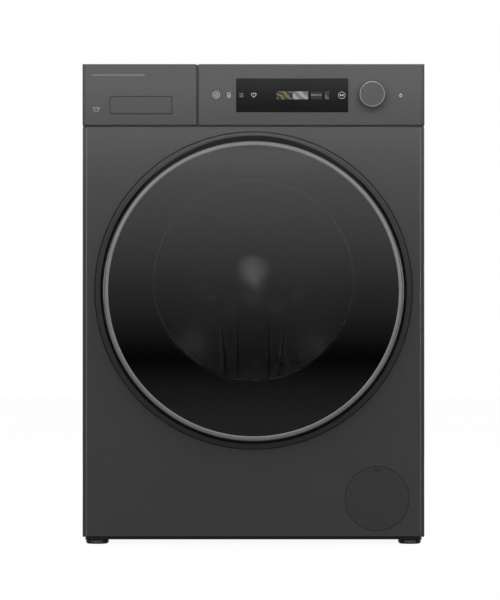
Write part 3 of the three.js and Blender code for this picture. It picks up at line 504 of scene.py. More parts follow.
def seam_strip():
    """A step behind the joints between the front panel, the fascia and the drawer front, painted darker than
    the panel: painted shade in the seams.
    """
    bm = bmesh.new()
    front, back = FACE_Y + 2.4, FACE_Y + 3
    low, high = PANEL.z1 - 0.1 - SEAM_DROP, CONTROL.z0 - 0.15 - SEAM_DROP
    brick(bm, PANEL.x0 + 1.2, PANEL.x1 - 1.2, front, back, low, high, 0.3)
    brick(bm, DRAWER.x1 + 0.25, CONTROL.x0 - 0.2, front, back, CONTROL.z0 - 0.1, CONTROL.z1 - 1.5, 0.4)
    piece("seam_strip", bm, SEAM_SHADE_PAINT, "cabinet", bevel=0.2)


def side_panel(node, side):
    """A side sheet with two large sunken fields."""
    b = cad(node)
    outer = b.x1 if side > 0 else b.x0

    def sunk(outline, depth):
        return at_x(outline, outer - side * depth)

    bm = bmesh.new()
    rim = [(0, 12), (0, 1), (0.3, 0.3), (1, 0), (4, 0)]
    edge = skin(bm, [sunk(inset_rect(b.y0, b.y1, b.z0, b.z1, i, 3), depth) for i, depth in rim])
    fields = []
    for low, high in ((b.z0 + 70, b.z0 + 372), (b.z0 + 410, b.z1 - 74)):
        steps = [(0, 0), (1.5, 0.15), (6, 1.25), (8, 1.4)]
        fields.append(skin(bm, [sunk(inset_rect(b.y0 + 52, b.y1 - 60, low, high, i, 34 - i, 8), depth)
                                for i, depth in steps]))
    fill(bm, edge[-1], *(loops[0] for loops in fields))
    for loops in fields:
        fill(bm, loops[-1])
    name = node.replace("_panel", "_sheet")
    piece(name, bm, PAINT, "cabinet", [node], wall=0.9, facing=(side, 0, 0))


def top_panel():
    """A lid with a rounded front edge, whose slightly sunken top has a soft rim."""
    bm = bmesh.new()
    steps = [(0, TOP.z0 - TOP.z1), (0, -3), (0.5, -1.3), (1.6, -0.4), (3.2, 0), (9, 0), (11, -0.25),
             (13, -0.3)]
    rings = skin(bm, [at_z(inset_rect(TOP.x0, TOP.x1, TOP.y0, TOP.y1, i, 4), TOP.z1 + z) for i, z in steps])
    fill(bm, rings[-1])
    piece("top_lid", bm, PAINT, "cabinet", ["top_panel"], wall=2.2, facing=(0, 0, 1))
    bm = bmesh.new()
    brick(bm, TOP.x0 + 30, TOP.x1 - 30, TOP.y1 - 3.2, TOP.y1 - 0.1, TOP.z0 + 3, TOP.z1 - 6)
    piece("top_rear_trim", bm, BLACK_PLASTIC, "cabinet", bevel=0.5)


def rear_panel():
    """The rear sheet with holes for the cover, the inlets and the cord, pressed ribs and louvres."""
    back = REAR.y1
    bm = bmesh.new()
    rim = [(0, 1), (0.4, 0.3), (1.4, 0), (5, 0)]
    edge = skin(bm, [at_y(inset_rect(REAR.x0, REAR.x1, REAR.z0, REAR.z1, i, 4), back - sink) for i,
                     sink in rim])
    openings = [(DRUM.x, DRUM.z, 170, 128), (180, 772, 15, 32), (222, 772, 15, 32), (-232, 772, 8.6, 24)]
    holes = [well(bm, circle(*opening), back, back - 0.6)[0] for opening in openings]
    for x in (-246, 246):
        for low, high in ((70, 250), (300, 640)):
            holes.append(rib(bm, x - 13, x + 13, low, high, back))
    for low in (60, 112):
        holes.append(rib(bm, -150, 150, low, low + 26, back))
    for i in range(7):
        holes.append(louvre(bm, -40, 40, 706 + 12 * i, back))
    fill(bm, edge[-1], *holes)
    piece("rear_sheet", bm, ZINC, "cabinet", ["rear_panel"], wall=0.8, facing=(0, 1, 0))


def rib(bm, x0, x1, z0, z1, y):
    """A long pressing, sunk 1.1 mm. Returns its outer ring."""
    steps = [(0, 0), (1, 0.1), (5, 1.0), (6.5, 1.1)]
    r = min(x1 - x0, z1 - z0) / 2
    rings = skin(bm, [at_y(inset_rect(x0, x1, z0, z1, i, r - i - 0.01, 6), y - sink) for i, sink in steps])
    fill(bm, rings[-1])
    return rings[0]


def louvre(bm, x0, x1, z, y):
    """A slot to let warm air out. Returns its outer ring."""
    return well(bm, rounded_rect(x0, x1, z, z + 4, 1.99, 4), y, y - 0.7)[0]


def rear_cover():
    """The round service cover with two pressed rings, as thick as a sheet."""
    front = [(0, 0), (60, 0), (66, -1.6), (78, -1.6), (84, 0), (118, 0), (124, -1.6), (136, -1.6),
             (142, 0), (157, 0)]
    rim = [(165, -4), (183, -4), (184, -4.6), (184, -5.2), (165, -5.1)]
    back = [(r, y - 1.2) for r, y in reversed(front)]
    turned("rear_cover", front + rim + back, (DRUM.x, DRUM.z), ZINC, "cabinet", ["rear_service_cover"],
           "zinc_steel",
           closed=False, soft=1.2, base=cad("rear_service_cover").y1)


def screw_head(bm, x, z, y, r, high):
    """A pan head with a round recess, standing out to the rear from the plane y."""
    profile = [(0, high * 0.45), (r * 0.42, high * 0.45), (r * 0.46, high), (r * 0.75, high * 0.86),
               (r, 0.35), (r, 0),
               (0, 0)]
    spun(bm, profile, x, z, sides=18, closed=False, soft=0.25, steps=2, base=y)


def rear_fittings():
    """The screws of the rear panel and its cover, and the plugs in the holes of the transit bolts."""
    bm = bmesh.new()
    for x in (-288, 288):
        for z in (30, 210, 400, 590, 780):
            screw_head(bm, x, z, REAR.y1, 3.6, 1.4)
    for i in range(6):
        x, z = polar(DRUM.x, DRUM.z, 175, math.radians(30 + 60 * i))
        screw_head(bm, x, z, cad("rear_service_cover").y1 - 4, 3.4, 1.3)
    for x in (201, -200):
        screw_head(bm, x, 796, REAR.y1, 3.2, 1.2)
    piece("rear_screws", bm, ZINC, "cabinet")
    bm = bmesh.new()
    plug = [(0, 1.3), (9, 1.3), (15.5, 1.1), (16, 0.05), (0, 0.05)]
    for x in (-196, 196):
        for z in (250, 668):
            spun(bm, plug, x, z, sides=40, closed=False, soft=0.5, base=REAR.y1)
            brick(bm, x - 6, x + 6, REAR.y1 + 1.2, REAR.y1 + 1.45, z - 1.3, z + 1.3, 0.1)
    piece("transit_plugs", bm, BLACK_PLASTIC, "cabinet")


def inlet_valve():
    """The valve body with its two threaded inlets, one with a red ring and one with a blue ring."""
    b = cad("water_inlet_valve")
    bm = bmesh.new()
    z = 772
    brick(bm, 158, 244, b.y0 + 28, REAR.y1 - 3.4, z - 18, z + 18, 3)
    thread = [(9, 0), (12.2, 0), (12.4, -0.8)]
    for i in range(4):
        y = -1.6 - 1.8 * i
        thread += [(13.2, y), (13.2, y - 0.5), (12.0, y - 1.1), (12.0, y - 1.3)]
    thread += [(12.0, 300 - b.y1), (9, 300 - b.y1)]
    for x in (180, 222):
        brick(bm, x - 12, x + 12, b.y0, b.y0 + 29, z - 14, z + 14, 2)
        spun(bm, thread, x, z, sides=48, soft=0.2, steps=2, base=b.y1)
    piece("inlet_valve_body", bm, GREY_PLASTIC, "cabinet", ["water_inlet_valve"])
    ring = [(13.3, 0.1), (17.5, 0.1), (17.5, 1.3), (13.3, 1.3)]
    for name, x, colour in (("hot_inlet_ring", 180, (0.45, 0.02, 0.02)),
                            ("cold_inlet_ring", 222, (0.02, 0.08, 0.45))):
        turned(name, ring, (x, z), surface(name, colour, 0.45, grain=1200), "cabinet",
               slot="grey_plastic", sides=48,
               soft=0.4, base=REAR.y1)


def cord_gland():
    b = circle_of("power_cord_gland")
    profile = [(4, -14), (12, -14), (12, -9), (8.2, -9), (8.2, 0.4), (13, 0.4), (13, 4)]
    for i in range(3):
        r, y = -1.7 * i, 2 * i
        profile += [(r + 11.4, y + 4.6), (r + 10.2, y + 5.4), (r + 10.4, y + 6)]
    profile += [(5, 11), (4, 11)]
    turned("cord_gland", profile, (b.x, b.z), BLACK_PLASTIC, "cabinet", ["power_cord_gland"],
           "black_plastic",
           sides=40, soft=0.4, base=REAR.y1)


def foot(node):
    """A round foot with four spanner lugs, a rubber sole and a threaded stud."""
    b = cad(node)
    x, y = (b.x0 + b.x1) / 2, (b.y0 + b.y1) / 2
    r = (b.x1 - b.x0) / 2
    profile = [(0, 1.9), (r - 0.8, 1.9), (r - 0.5, 2.3), (r - 0.5, 6.6), (r - 1.6, 7.7), (12, 7.9),
               (0, 7.9)]
    turned(node + "_cup", profile, (x, y), BLACK_PLASTIC, node, [node], "black_rubber", sides=72,
           closed=False,
           soft=0.4, axis="z")
    bm = bmesh.new()
    half = math.asin(10.3 / r)
    for i in range(4):
        loops = []
        for k in range(13):
            turn = math.radians(90 * i) + half * (k / 6 - 1)
            c, d = math.cos(turn), math.sin(turn)
            section = softened([(r - 2, 1.9), (r, 1.9), (r, 7.0), (r - 2, 7.2)], 0.4)
            loops.append([(x + a * c, y + a * d, z) for a, z in section])
        skin(bm, loops, caps=True)
    piece(node + "_lugs", bm, FOOT_PLASTIC, node)
    profile = [(0, 0), (r - 2.4, 0), (r - 1.6, 0.6), (r - 1.4, 2), (0, 2)]
    turned(node + "_sole", profile, (x, y), BLACK_RUBBER, node, sides=64, closed=False, soft=0.4, axis="z",
           slot="black_rubber")
    thread = [(0, 7.8), (4.2, 7.8)]
    for i in range(20):
        z = 8.4 + 1.6 * i
        thread += [(5, z), (5, z + 0.3), (4.2, z + 1.0)]
    thread += [(4.2, b.z1 - 0.8), (3.4, b.z1), (0, b.z1)]
    turned(node + "_stud", thread, (x, y), ZINC, node, sides=20, closed=False, soft=0, axis="z",
           slot="zinc_steel")


# ---------------------------------------------------------------- fascia

def control_panel():
    """The fascia, folded wide at its outer edge and little where it meets the drawer and the front panel."""
    def outline(inset, y):
        left = CONTROL.x0 + 0.1 * min(inset, 4)
        low = CONTROL.z0 - SEAM_DROP + 0.15 * min(inset, 4)
        high = CONTROL.z1 - 0.42 * min(inset, 5)
        return at_y(rounded_rect(left, CONTROL.x1 - inset, low, high, 1.2), y)

    bm = bmesh.new()
    edge = skin(bm, fold(outline, CONTROL.y1 - FACE_Y, 5, 1.2))
    window = inset_rect(DISPLAY.x0, DISPLAY.x1, DISPLAY_Z0, DISPLAY.z1, -0.3, 1.2)
    seat = well(bm, window, FACE_Y, FACE_Y + 3)
    shaft = well(bm, circle(KNOB.x, KNOB.z, 4, 32), FACE_Y, FACE_Y + 2)
    power = well(bm, circle(POWER.x, POWER.z, POWER.r + 0.4, 64), FACE_Y, FACE_Y + 2)
    fill(bm, edge[-1], seat[0], shaft[0], power[0])
    piece("control_fascia", bm, FASCIA, "cabinet", ["control_panel"], wall=2.4,
          facing=(0, -1, 0))


def display():
    bm = bmesh.new()
    steps = [(0, DISPLAY.y1), (0, FACE_Y + 0.3), (0.3, FACE_Y)]
    skin(bm, [at_y(inset_rect(DISPLAY.x0, DISPLAY.x1, DISPLAY_Z0, DISPLAY.z1, i, 1.2), y) for i,
              y in steps], caps=True)
    piece("display_glass", bm, DISPLAY_GLASS, "cabinet", ["display_window"])


def heart(x, z, size, count=40):
    points = []
    for i in range(count):
        t = 2 * math.pi * i / count
        across = 16 * math.sin(t) ** 3
        up = 13 * math.cos(t) - 5 * math.cos(2 * t) - 2 * math.cos(3 * t) - math.cos(4 * t)
        points.append((x + across * size / 32, z + (up + 2) * size / 32))
    return points


SYMBOL_Z = POWER.z
PICTURES_Z = (SYMBOL_Z - 7.6, SYMBOL_Z + 6.2)


def symbols():
    """Generic symbols: favourite, play and pause, menu, lock, remote control, power."""
    z = SYMBOL_Z
    front, back = FACE_Y - 0.06, FACE_Y + 0.05
    bright = bmesh.new()
    stroke(bright, heart(0.4, z - 0.4, 8.6), 0.55, front, back, closed=True)
    stroke(bright, arc(154.9, z - 0.6, 5.8, 0, 360)[:-1], 0.5, front, back, closed=True)
    well(bright, [(152.0, z - 2.2), (152.0, z + 1.4), (154.8, z - 0.4)], front, back, caps=True)
    for x in (155.9, 157.5):
        stroke(bright, [(x, z - 2.1), (x, z + 1.3)], 0.65, front, back)
    piece("display_symbols", bright, SYMBOL, "cabinet")

    dim = bmesh.new()
    for up in (-3.2, -0.4, 2.4):
        stroke(dim, [(-24.6, z + up), (-17.8, z + up)], 0.9, front, back)
    for i in range(5):
        x = 101.4 + 3.8 * i
        stroke(dim, [(x, z), (x + 2.4, z)], 2.2, front, back)
    piece("menu_symbol", dim, SYMBOL_DIM, "cabinet")

    pale = bmesh.new()
    stroke(pale, rounded_rect(-45.2, -40.8, z - 4.2, z + 3.6, 1), 0.8, front, back, closed=True)
    stroke(pale, [(-43, z - 2.4), (-43, z - 0.4)], 1.8, front, back)
    x = KNOB.x + 50.3
    stroke(pale, arc(x, z - 1.2, 2.1, 0, 360)[:-1], 1.0, front, back, closed=True)
    stroke(pale, arc(x, z + 0.6, 1.5, 0, 180), 0.8, front, back)
    piece("fascia_symbols", pale, PRINT, "cabinet")

    ring = bmesh.new()
    x = POWER.x
    front = cad("power_button").y0 - 0.05
    back = front + 0.15
    stroke(ring, arc(x, z, POWER.r - 1.4, 0, 360, 48)[:-1], 0.7, front, back, closed=True)
    stroke(ring, arc(x, z, 2.7, 125, 415), 0.7, front, back)
    stroke(ring, [(x, z + 0.8), (x, z + 3.8)], 0.7, front, back)
    piece("power_symbol", ring, PRINT, "button")


def pictures():
    """Four small abstract pictures in a row on the display."""
    looks = [
        ("gold", 40.4, 67.4, (0.004, 0.004, 0.002), (0.09, 0.078, 0.035), 55, 0.7, 9),
        ("silver", 68.6, 95.6, (0.06, 0.06, 0.062), (0.16, 0.16, 0.165), 34, 0.8, 3),
        ("dim", 100.4, 120.2, (0.003, 0.003, 0.003), (0.014, 0.014, 0.014), 120, 0.8, 2),
        ("warm", 125.2, 132.4, (0.01, 0.007, 0.005), (0.075, 0.045, 0.034), 40, 0.8, 5),
    ]
    for i, (name, x0, x1, *look) in enumerate(looks):
        bm = bmesh.new()
        well(bm, rounded_rect(x0, x1, *PICTURES_Z, 0.8, 2), FACE_Y + 0.05, FACE_Y - 0.04, caps=True)
        material = picture("picture_" + name, *look)
        piece(f"display_picture_{i + 1}", bm, material, "cabinet")


def drawer_front():
    """The drawer's fascia with the mouth of its grip, and the pocket behind it."""
    def outline(inset, y):
        right = DRAWER.x1 - 0.1 * min(inset, 4)
        low = DRAWER.z0 - SEAM_DROP + 0.15 * min(inset, 4)
        high = DRAWER.z1 - 0.42 * min(inset, 5)
        return at_y(rounded_rect(DRAWER.x0 + inset, right, low, high, 1.2), y)

    bm = bmesh.new()
    edge = skin(bm, fold(outline, CONTROL.y1 - FACE_Y, 5, 1.2))
    left, right = FLAP.x0 + 1.0, FLAP.x1 - 1.0
    low, high = FLAP.z0 - 0.6, FLAP.z1 + 0.6
    steps = [(0, 0), (0.25, 0.1), (0.35, 0.5), (0.35, 3)]
    mouth = skin(bm, [at_y(inset_rect(left, right, low, high - 0.2, i - 0.7, 3.9), FACE_Y + y) for i,
                      y in steps])
    fill(bm, edge[-1], mouth[0])
    piece("drawer_fascia", bm, FASCIA, "drawer", ["drawer_front"], wall=2.4,
          facing=(0, -1, 0))

    bm = bmesh.new()
    room = rounded_rect(left + 0.4, right - 0.4, FLAP.z0 - 4, FLAP.z1 + 20, 3)
    fill(bm, well(bm, room, FACE_Y + 3, DRAWER.y1 - 2)[-1])
    piece("drawer_grip_pocket", bm, BLACK_PLASTIC, "drawer", wall=1.2,
          facing=(0, -1, 0))


def drawer_flap():
    left, right = FLAP.x0 + 1.6, FLAP.x1 - 1.6
    bm = bmesh.new()
    steps = [(0, 2.4), (0, 0.4), (0.12, 0.1), (0.4, 0)]
    skin(bm, [at_y(inset_rect(left, right, FLAP.z0, FLAP.z1, i, 3.1), FACE_Y + y) for i, y in steps],
         caps=True)
    piece("grip_flap", bm, FASCIA, "flap", ["drawer_flap"], sharp=50)
    bm = bmesh.new()
    pin = [(0, left - 2), (1.2, left - 2), (1.2, right + 2), (0, right + 2)]
    spun(bm, pin, FACE_Y + 4, FLAP.z1 - 2.4, sides=16, closed=False, soft=0.3, axis="x")
    for x in (left + 6, right - 6):
        brick(bm, x - 2, x + 2, FACE_Y + 2.2, FACE_Y + 5, FLAP.z1 - 4, FLAP.z1 - 0.9, 0.3)
    piece("grip_flap_pin", bm, BLACK_PLASTIC, "flap")


def drawer_marks():
    """A plain name plate with nothing on it, and a wash tub symbol."""
    bm = bmesh.new()
    x0, x1 = DRAWER.x0 + 16, DRAWER.x0 + 110
    z = DRAWER.z1 - 19.6
    steps = [(0, 0.1), (0, -0.06), (0.1, -0.1)]
    skin(bm, [at_y(inset_rect(x0, x1, z - 1.1, z + 1.1, i, 1.05, 4), FACE_Y + y) for i, y in steps],
         caps=True)
    piece("name_plate", bm, NAME_PLATE, "drawer")
    bm = bmesh.new()
    x, z = DRAWER.x0 + 24.5, FLAP.z0 + 8.5
    front, back = FACE_Y - 0.1, FACE_Y + 0.05
    stroke(bm, [(x - 5, z + 3), (x - 3.8, z - 4), (x + 3.8, z - 4), (x + 5, z + 3)], 0.7, front, back)
    wave = [(x - 4 + 0.5 * i, z + 1.6 + 0.8 * math.sin(0.5 * i * 1.57)) for i in range(17)]
    stroke(bm, wave, 0.6, front, back)
    piece("wash_symbol", bm, PRINT, "drawer")


def detergent_tray():
    """A tray with three rounded compartments, and the insert with a siphon cap in the softener one."""
    wall = 2
    split_x, split_y = TRAY.x0 + 92, -120
    left, right = TRAY.x0 + wall, TRAY.x1 - wall
    near, far = TRAY.y0 + wall, TRAY.y1 - wall
    softener = (split_x + 1, right, near, split_y - 1)
    rooms = [(left, split_x - 1, near, far), softener, (split_x + 1, right, split_y + 1, far)]
    low, high = TRAY.z0, TRAY.z1
    bm = bmesh.new()
    outside = [(1.4, low), (0.4, low + 0.6), (0, low + 2), (0, high - 0.5), (0.4, high)]
    shell = skin(bm, [at_z(inset_rect(TRAY.x0, TRAY.x1, TRAY.y0, TRAY.y1, i, 5), z) for i, z in outside])
    fill(bm, shell[0])
    tops = []
    steps = [(0, high), (0.4, high - 0.5), (0.5, low + 7), (2.2, low + 3), (5, low + 2)]
    for room in rooms:
        rings = skin(bm, [at_z(inset_rect(*room, i, 6), z) for i, z in steps])
        fill(bm, rings[-1])
        tops.append(rings[0])
    fill(bm, shell[-1], *tops)
    piece("tray_body", bm, GREY_PLASTIC, "drawer", ["detergent_tray"])

    bm = bmesh.new()
    skin(bm, [at_z(inset_rect(*softener, 1.2, 6), z) for z in (high - 5.4, high - 3.4)], caps=True)
    x0, x1, y0, y1 = softener
    cap = [(0, -3.5), (9, -3.5), (8, -0.6), (5, -0.2), (0, -0.2)]
    spun(bm, cap, (x0 + x1) / 2, (y0 + y1) / 2, sides=40, closed=False, soft=0.8, axis="z", base=high)
    piece("softener_insert", bm, BLUE_PLASTIC, "drawer", bevel=0.4)


def knob():
    b = cad("program_knob")
    centre = (KNOB.x, KNOB.z)
    r = KNOB.r
    face = FACE_Y - b.y0
    cap = [(0, 0.5), (r - 2.4, 0.35), (r - 1.9, 0.1), (r - 1.9, 1.6), (r - 0.3, 1.8), (r - 0.3, face - 2.6),
           (r - 2.4, face - 0.9), (0, face - 0.9)]
    turned("knob_cap", cap, centre, KNOB_FACE, "knob", ["program_knob"], "fascia_plastic", closed=False,
           soft=0.3,
           base=b.y0)
    rim = [(r - 1.9, 1.7), (r - 1.9, 0.35), (r - 1.5, 0), (r - 0.7, 0.1), (r, 1.0), (r, 2.4),
           (r - 0.6, 2.4)]
    turned("knob_rim", rim, centre, KNOB_METAL, "knob", slot="trim_metal", soft=0.35, base=b.y0)
    stem = [(0, FACE_Y - 1), (3, FACE_Y - 1), (3, b.y1), (0, b.y1)]
    turned("knob_stem", stem, centre, BLACK_PLASTIC, "knob", slot="black_plastic", sides=32, closed=False,
           soft=0.3)


def power_button():
    b = cad("power_button")
    r = POWER.r
    collar, tip = FACE_Y + 6 - b.y0, b.y1 - b.y0
    profile = [(0, 0.25), (r - 1.6, 0.1), (r - 0.5, 0), (r, 0.5), (r, collar), (2.5, collar), (2.5, tip),
               (0, tip)]
    turned("power_key", profile, (POWER.x, POWER.z), FASCIA, "button", ["power_button"], "fascia_plastic",
           sides=64,
           closed=False, soft=0.3, base=b.y0)


# ---------------------------------------------------------------- door

def door():
    """The trim ring, the tinted pane with a black printed border, the mask behind it and the glass bowl."""
    centre = (RING.x, RING.z)
    axis = (DRUM.x, DRUM.z)
    ring = cad("door_trim_ring")
    r = RING.r - RING_TRIM
    seat = GLASS.r + 0.2
    profile = [(r - 9.2, 1.0), (r - 9.0, 0.25), (r - 7, 0), (r - 3.6, 0.1), (r - 2.0, 0.7),
               (r - 0.5, 2.8), (r, 4.8),
               (r, 5.4), (seat, 5.4), (seat, 1.0)]
    turned("door_ring", profile, (RING.x, RING.z - RING_DROP), TRIM_METAL, "door", ["door_trim_ring"],
           "trim_metal",
           sides=256, soft=0.5, base=ring.y0)
    pane = cad("door_glass")
    profile = [(0, pane.y0), (GLASS.r - 0.5, pane.y0), (GLASS.r, pane.y0 + 0.5), (GLASS.r, pane.y1),
               (0, pane.y1)]
    turned("door_pane", profile, centre, TINTED_GLASS, "door", ["door_glass"], "tinted_glass", sides=192,
           closed=False, soft=0.3)
    border = [(229, 0.05), (GLASS.r - 0.6, 0.05), (GLASS.r - 0.6, 0.25), (229, 0.25)]
    turned("door_border_print", border, centre, BORDER_PRINT, "door", slot="black_plastic", sides=192,
           soft=0,
           base=pane.y1)
    mask = [(GLASS.r - 3, 0.3), (236, 1.2), (200, 6), (184.5, 20), (183.5, 20), (199, 5), (236, 0.4),
            (GLASS.r - 3, 0.28)]
    turned("door_mask", mask, axis, DOOR_PLASTIC, "door", slot="black_plastic", sides=160, soft=0,
           base=pane.y1)
    bowl = [(0, 131.5), (108, 126.5), (141, 114.5), (155, 92.5), (170, 22.5), (175, 3.6), (190, 3.6),
            (190, 0),
            (171, 0), (150.5, 89.5), (137, 110), (106, 121.5), (0, 126.5)]
    turned("glass_bowl", bowl, axis, BOWL_GLASS, "door", ["door_bowl"], "bowl_glass", sides=160,
           closed=False,
           soft=9, steps=6, base=cad("door_bowl").y0)
    door_screws()


def door_screws():
    """Screws on the inner side of the door frame that clamp the bowl. None at the hinge and at the latch."""
    bm = bmesh.new()
    y = cad("door_frame").y1
    for i in range(12):
        x, z = polar(RING.x, RING.z, 232, math.radians(15 + 30 * i))
        if -190 < x < 205:
            screw_head(bm, x, z, y - 0.05, 3.6, 1.3)
    piece("door_frame_screws", bm, ZINC, "door")


def gasket():
    """The rubber bellows between the panel and the tub. Its front is clamped to the panel; the piece rides
    on no body.
    """
    face = FACE_Y + DISH_DEPTH
    profile = [(186, -3.4), (186, -0.4), (181.5, -0.4), (181.5, 1.6), (194, 1.6), (207, 28), (198, 42),
               (204, 66),
               (199.6, 66), (199.6, 56), (193, 42), (202, 28), (190, 8), (175.6, 13), (174.0, 10.5),
               (180.6, -3.4)]
    bellows = turned("gasket_bellows", profile, (DRUM.x, DRUM.z), GREY_RUBBER, None, ["door_gasket"],
                     "grey_rubber",
                     sides=160, soft=3.5, steps=5, base=face)
    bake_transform(bellows)


# ---------------------------------------------------------------- drum

def ease(low, high, value):
    t = max(0.0, min(1.0, (value - low) / (high - low)))
    return t * t * (3 - 2 * t)


ARMS = [math.radians(a) for a in (-90, 30, 150)]


def relief(r, turn):
    """How far the star pressed into the drum back stands up, from 0 to 1. Its arms rise in two steps."""
    flat = 0.0
    for arm in ARMS:
        along = r * math.cos(turn - arm)
        across = abs(r * math.sin(turn - arm))
        if along > 0:
            outer = 64 - 18 * along / 180
            lift = 1 - 0.5 * ease(27, 31.5, across) - 0.5 * ease(outer, outer + 8, across)
            flat = 1 - (1 - flat) * (1 - lift * ease(0, 30, along))
    hub = 1 - ease(38, 84, r)
    return 1 - (1 - flat) * (1 - hub)


def drum_back_y(x, z):
    """The height of the drum back's face at a point measured from the drum's axis."""
    r = math.hypot(x, z)
    star = relief(r, math.atan2(z, x)) * (1 - ease(214, 236, r))
    return 200.5 + 2.5 * (r / 240) ** 2 - 7.5 * star - 4.6 * (1 - ease(0, 52, r))


def drum_back():
    """The pressed drum back, with a ring of holes that leaves out the ends of the arms."""
    rim = cad("drum_back").x1 - DRUM.x
    count = 92
    hole_ring = 178.4
    band = (hole_ring - 4.5, hole_ring + 4.5)

    def lifted(points):
        return [(DRUM.x + x, drum_back_y(x, z), DRUM.z + z) for x, z in points]

    bm = bmesh.new()
    inner = [4 * i for i in range(22)] + [88 + 5.1 * i for i in range(1, 17)] + [band[0]]
    outer = [band[1]] + [184.5 + 5 * i for i in range(1, 11)] + [rim]
    middle = skin(bm, [lifted(circle(0, 0, r, 3 * count) if r else [(0, 0)]) for r in inner])
    border = skin(bm, [lifted(circle(0, 0, r, 3 * count)) for r in outer])
    holes = []
    for i in range(count):
        turn = 2 * math.pi * (i + 0.5) / count
        apart = min(abs(math.remainder(turn - arm, 2 * math.pi)) for arm in ARMS)
        if apart > math.radians(25.5):
            spot = circle(*polar(0, 0, hole_ring, turn), 3.1, 10)
            holes.append([bm.verts.new(p) for p in lifted(spot)])
    fill(bm, middle[-1], border[0], *holes)
    piece("drum_back_plate", bm, DRUM_BACK, "drum", ["drum_back"], sharp=60, wall=1.4,
          facing=(0, -1, 0))


def drum_shell():
    """The drum mouth rolled from sheet, and the drum wall with its rows of holes."""
    b = cad("drum_shell")
    around, rows = 72, 12
    y0 = b.y0
    lip = softened([(180.8, y0 + 8), (178, y0 + 5), (180.5, y0), (DRUM.r - 7, y0 + 4), (DRUM.r, y0 + 11),
                    (DRUM.r, y0 + 30)], 2.5, closed=False)
    bm = bmesh.new()
    skin(bm, [at_y(circle(DRUM.x, DRUM.z, r, around), y) for r, y in lip])
    start, end = y0 + 30, b.y1 - 20
    deep = (end - start) / rows
    hole = arc(0, 0, 2.6, 22.5, 337.5, 7)

    def on_wall(u, y):
        x, z = polar(DRUM.x, DRUM.z, DRUM.r, 2 * math.pi * u / around)
        return (x, y, z)

    width = 2 * math.pi * DRUM.r / around
    for i in range(around):
        for j in range(rows):
            low = start + deep * j
            corners = [bm.verts.new(on_wall(i + u, low + deep * v)) for u,
                       v in ((1, 1), (0, 1), (0, 0), (1, 0))]
            ring = [bm.verts.new(on_wall(i + 0.5 + c / width, low + deep / 2 + s)) for c, s in hole]
            for k in range(4):
                bm.faces.new((corners[k], ring[2 * k], ring[2 * k - 1]))
                bm.faces.new((corners[k], corners[(k + 1) % 4], ring[(2 * k + 1) % 8], ring[2 * k]))
    skin(bm, [at_y(circle(DRUM.x, DRUM.z, DRUM.r, around), y) for y in (end, b.y1)])
    piece("drum_wall", bm, STAINLESS, "drum", ["drum_shell"], wall=0.8, facing=(1, 0, 0))


def lifter(index):
    """A rounded rib with sloping ends, from the drum wall to its crest."""
    half, crest = 40, 192.4
    y0, y1 = -126, 190
    lengthwise, crosswise = 26, 24
    base = -math.sqrt(DRUM.r ** 2 - half ** 2) + 3.2
    turn = -2 * math.pi * index / 3
    c, s = math.cos(turn), math.sin(turn)
    loops = []
    for k in range(lengthwise + 1):
        t = k / lengthwise
        rise = min(1, 1.02 * ease(0, 0.13, t + 0.004)) * min(1, 1.02 * ease(0, 0.09, 1.004 - t))
        loop = []
        for i in range(crosswise + 1):
            u = i / crosswise * 2 - 1
            shape = 1 / (1 + math.exp(9.5 * (abs(u) - 0.46)))
            loop.append((u * half, base - (base + crest) * shape * rise))
        loop += [(half, base - 1), (-half, base - 1)]
        y = y0 + (y1 - y0) * t
        loops.append([(DRUM.x + x * c - z * s, y, DRUM.z + x * s + z * c) for x, z in loop])
    bm = bmesh.new()
    skin(bm, loops, caps=True)
    node = f"drum_lifter_{index + 1}"
    piece(node.replace("drum_", "rib_"), bm, LIFTER_PLASTIC, "drum", [node], sharp=60)


# ---------------------------------------------------------------- filter

def filter_flap():
    """The round cover with a notch near its top, drawn as a near-black outline of painted shade, and its
    swan neck and hinge pin.
    """
    x, z, r = FILTER
    front, back = FACE_Y - 0.02, FACE_Y + 0.3
    disc = [(0, 0), (r - 0.5, 0), (r, 0.5), (r - 0.4, 1.8), (0, 1.8)]
    turned("filter_cover", disc, (x, z), PAINT, "filter_flap", ["filter_door"], "fascia_plastic", sides=160,
           closed=False, soft=0.35, base=FACE_Y)
    # The notch is not cut into the cover: a thin near-black mark of painted shade outlines where it would
    # be.
    notch = bmesh.new()
    stroke(notch, arc(x, z + 48.2, 4.2, 15, 165, 20), 0.7, front, back)
    stroke(notch, [(x - 4.2, z + 48.9), (x + 4.2, z + 48.9)], 1.1, front, back)
    piece("filter_notch", notch, BORDER_PRINT, "filter_flap")
    neck = bmesh.new()
    pivot_z, pivot_y = cad("filter_door").z0 + 1.6, FACE_Y + 4
    inner = FACE_Y + 13
    brick(neck, x - 5, x + 5, FACE_Y + 1.6, inner, z - 50, z - 42, 1)
    brick(neck, x - 5, x + 5, FACE_Y + 10.8, inner, pivot_z - 1.6, z - 42, 1)
    brick(neck, x - 5, x + 5, pivot_y - 1.6, inner, pivot_z - 1.6, pivot_z + 1.6, 1)
    pin = [(0, x - 10.6), (1.6, x - 10.6), (1.6, x + 10.6), (0, x + 10.6)]
    spun(neck, pin, pivot_y, pivot_z, sides=16, closed=False, soft=0.3, axis="x")
    piece("filter_cover_hinge", neck, BLACK_PLASTIC, "filter_flap")


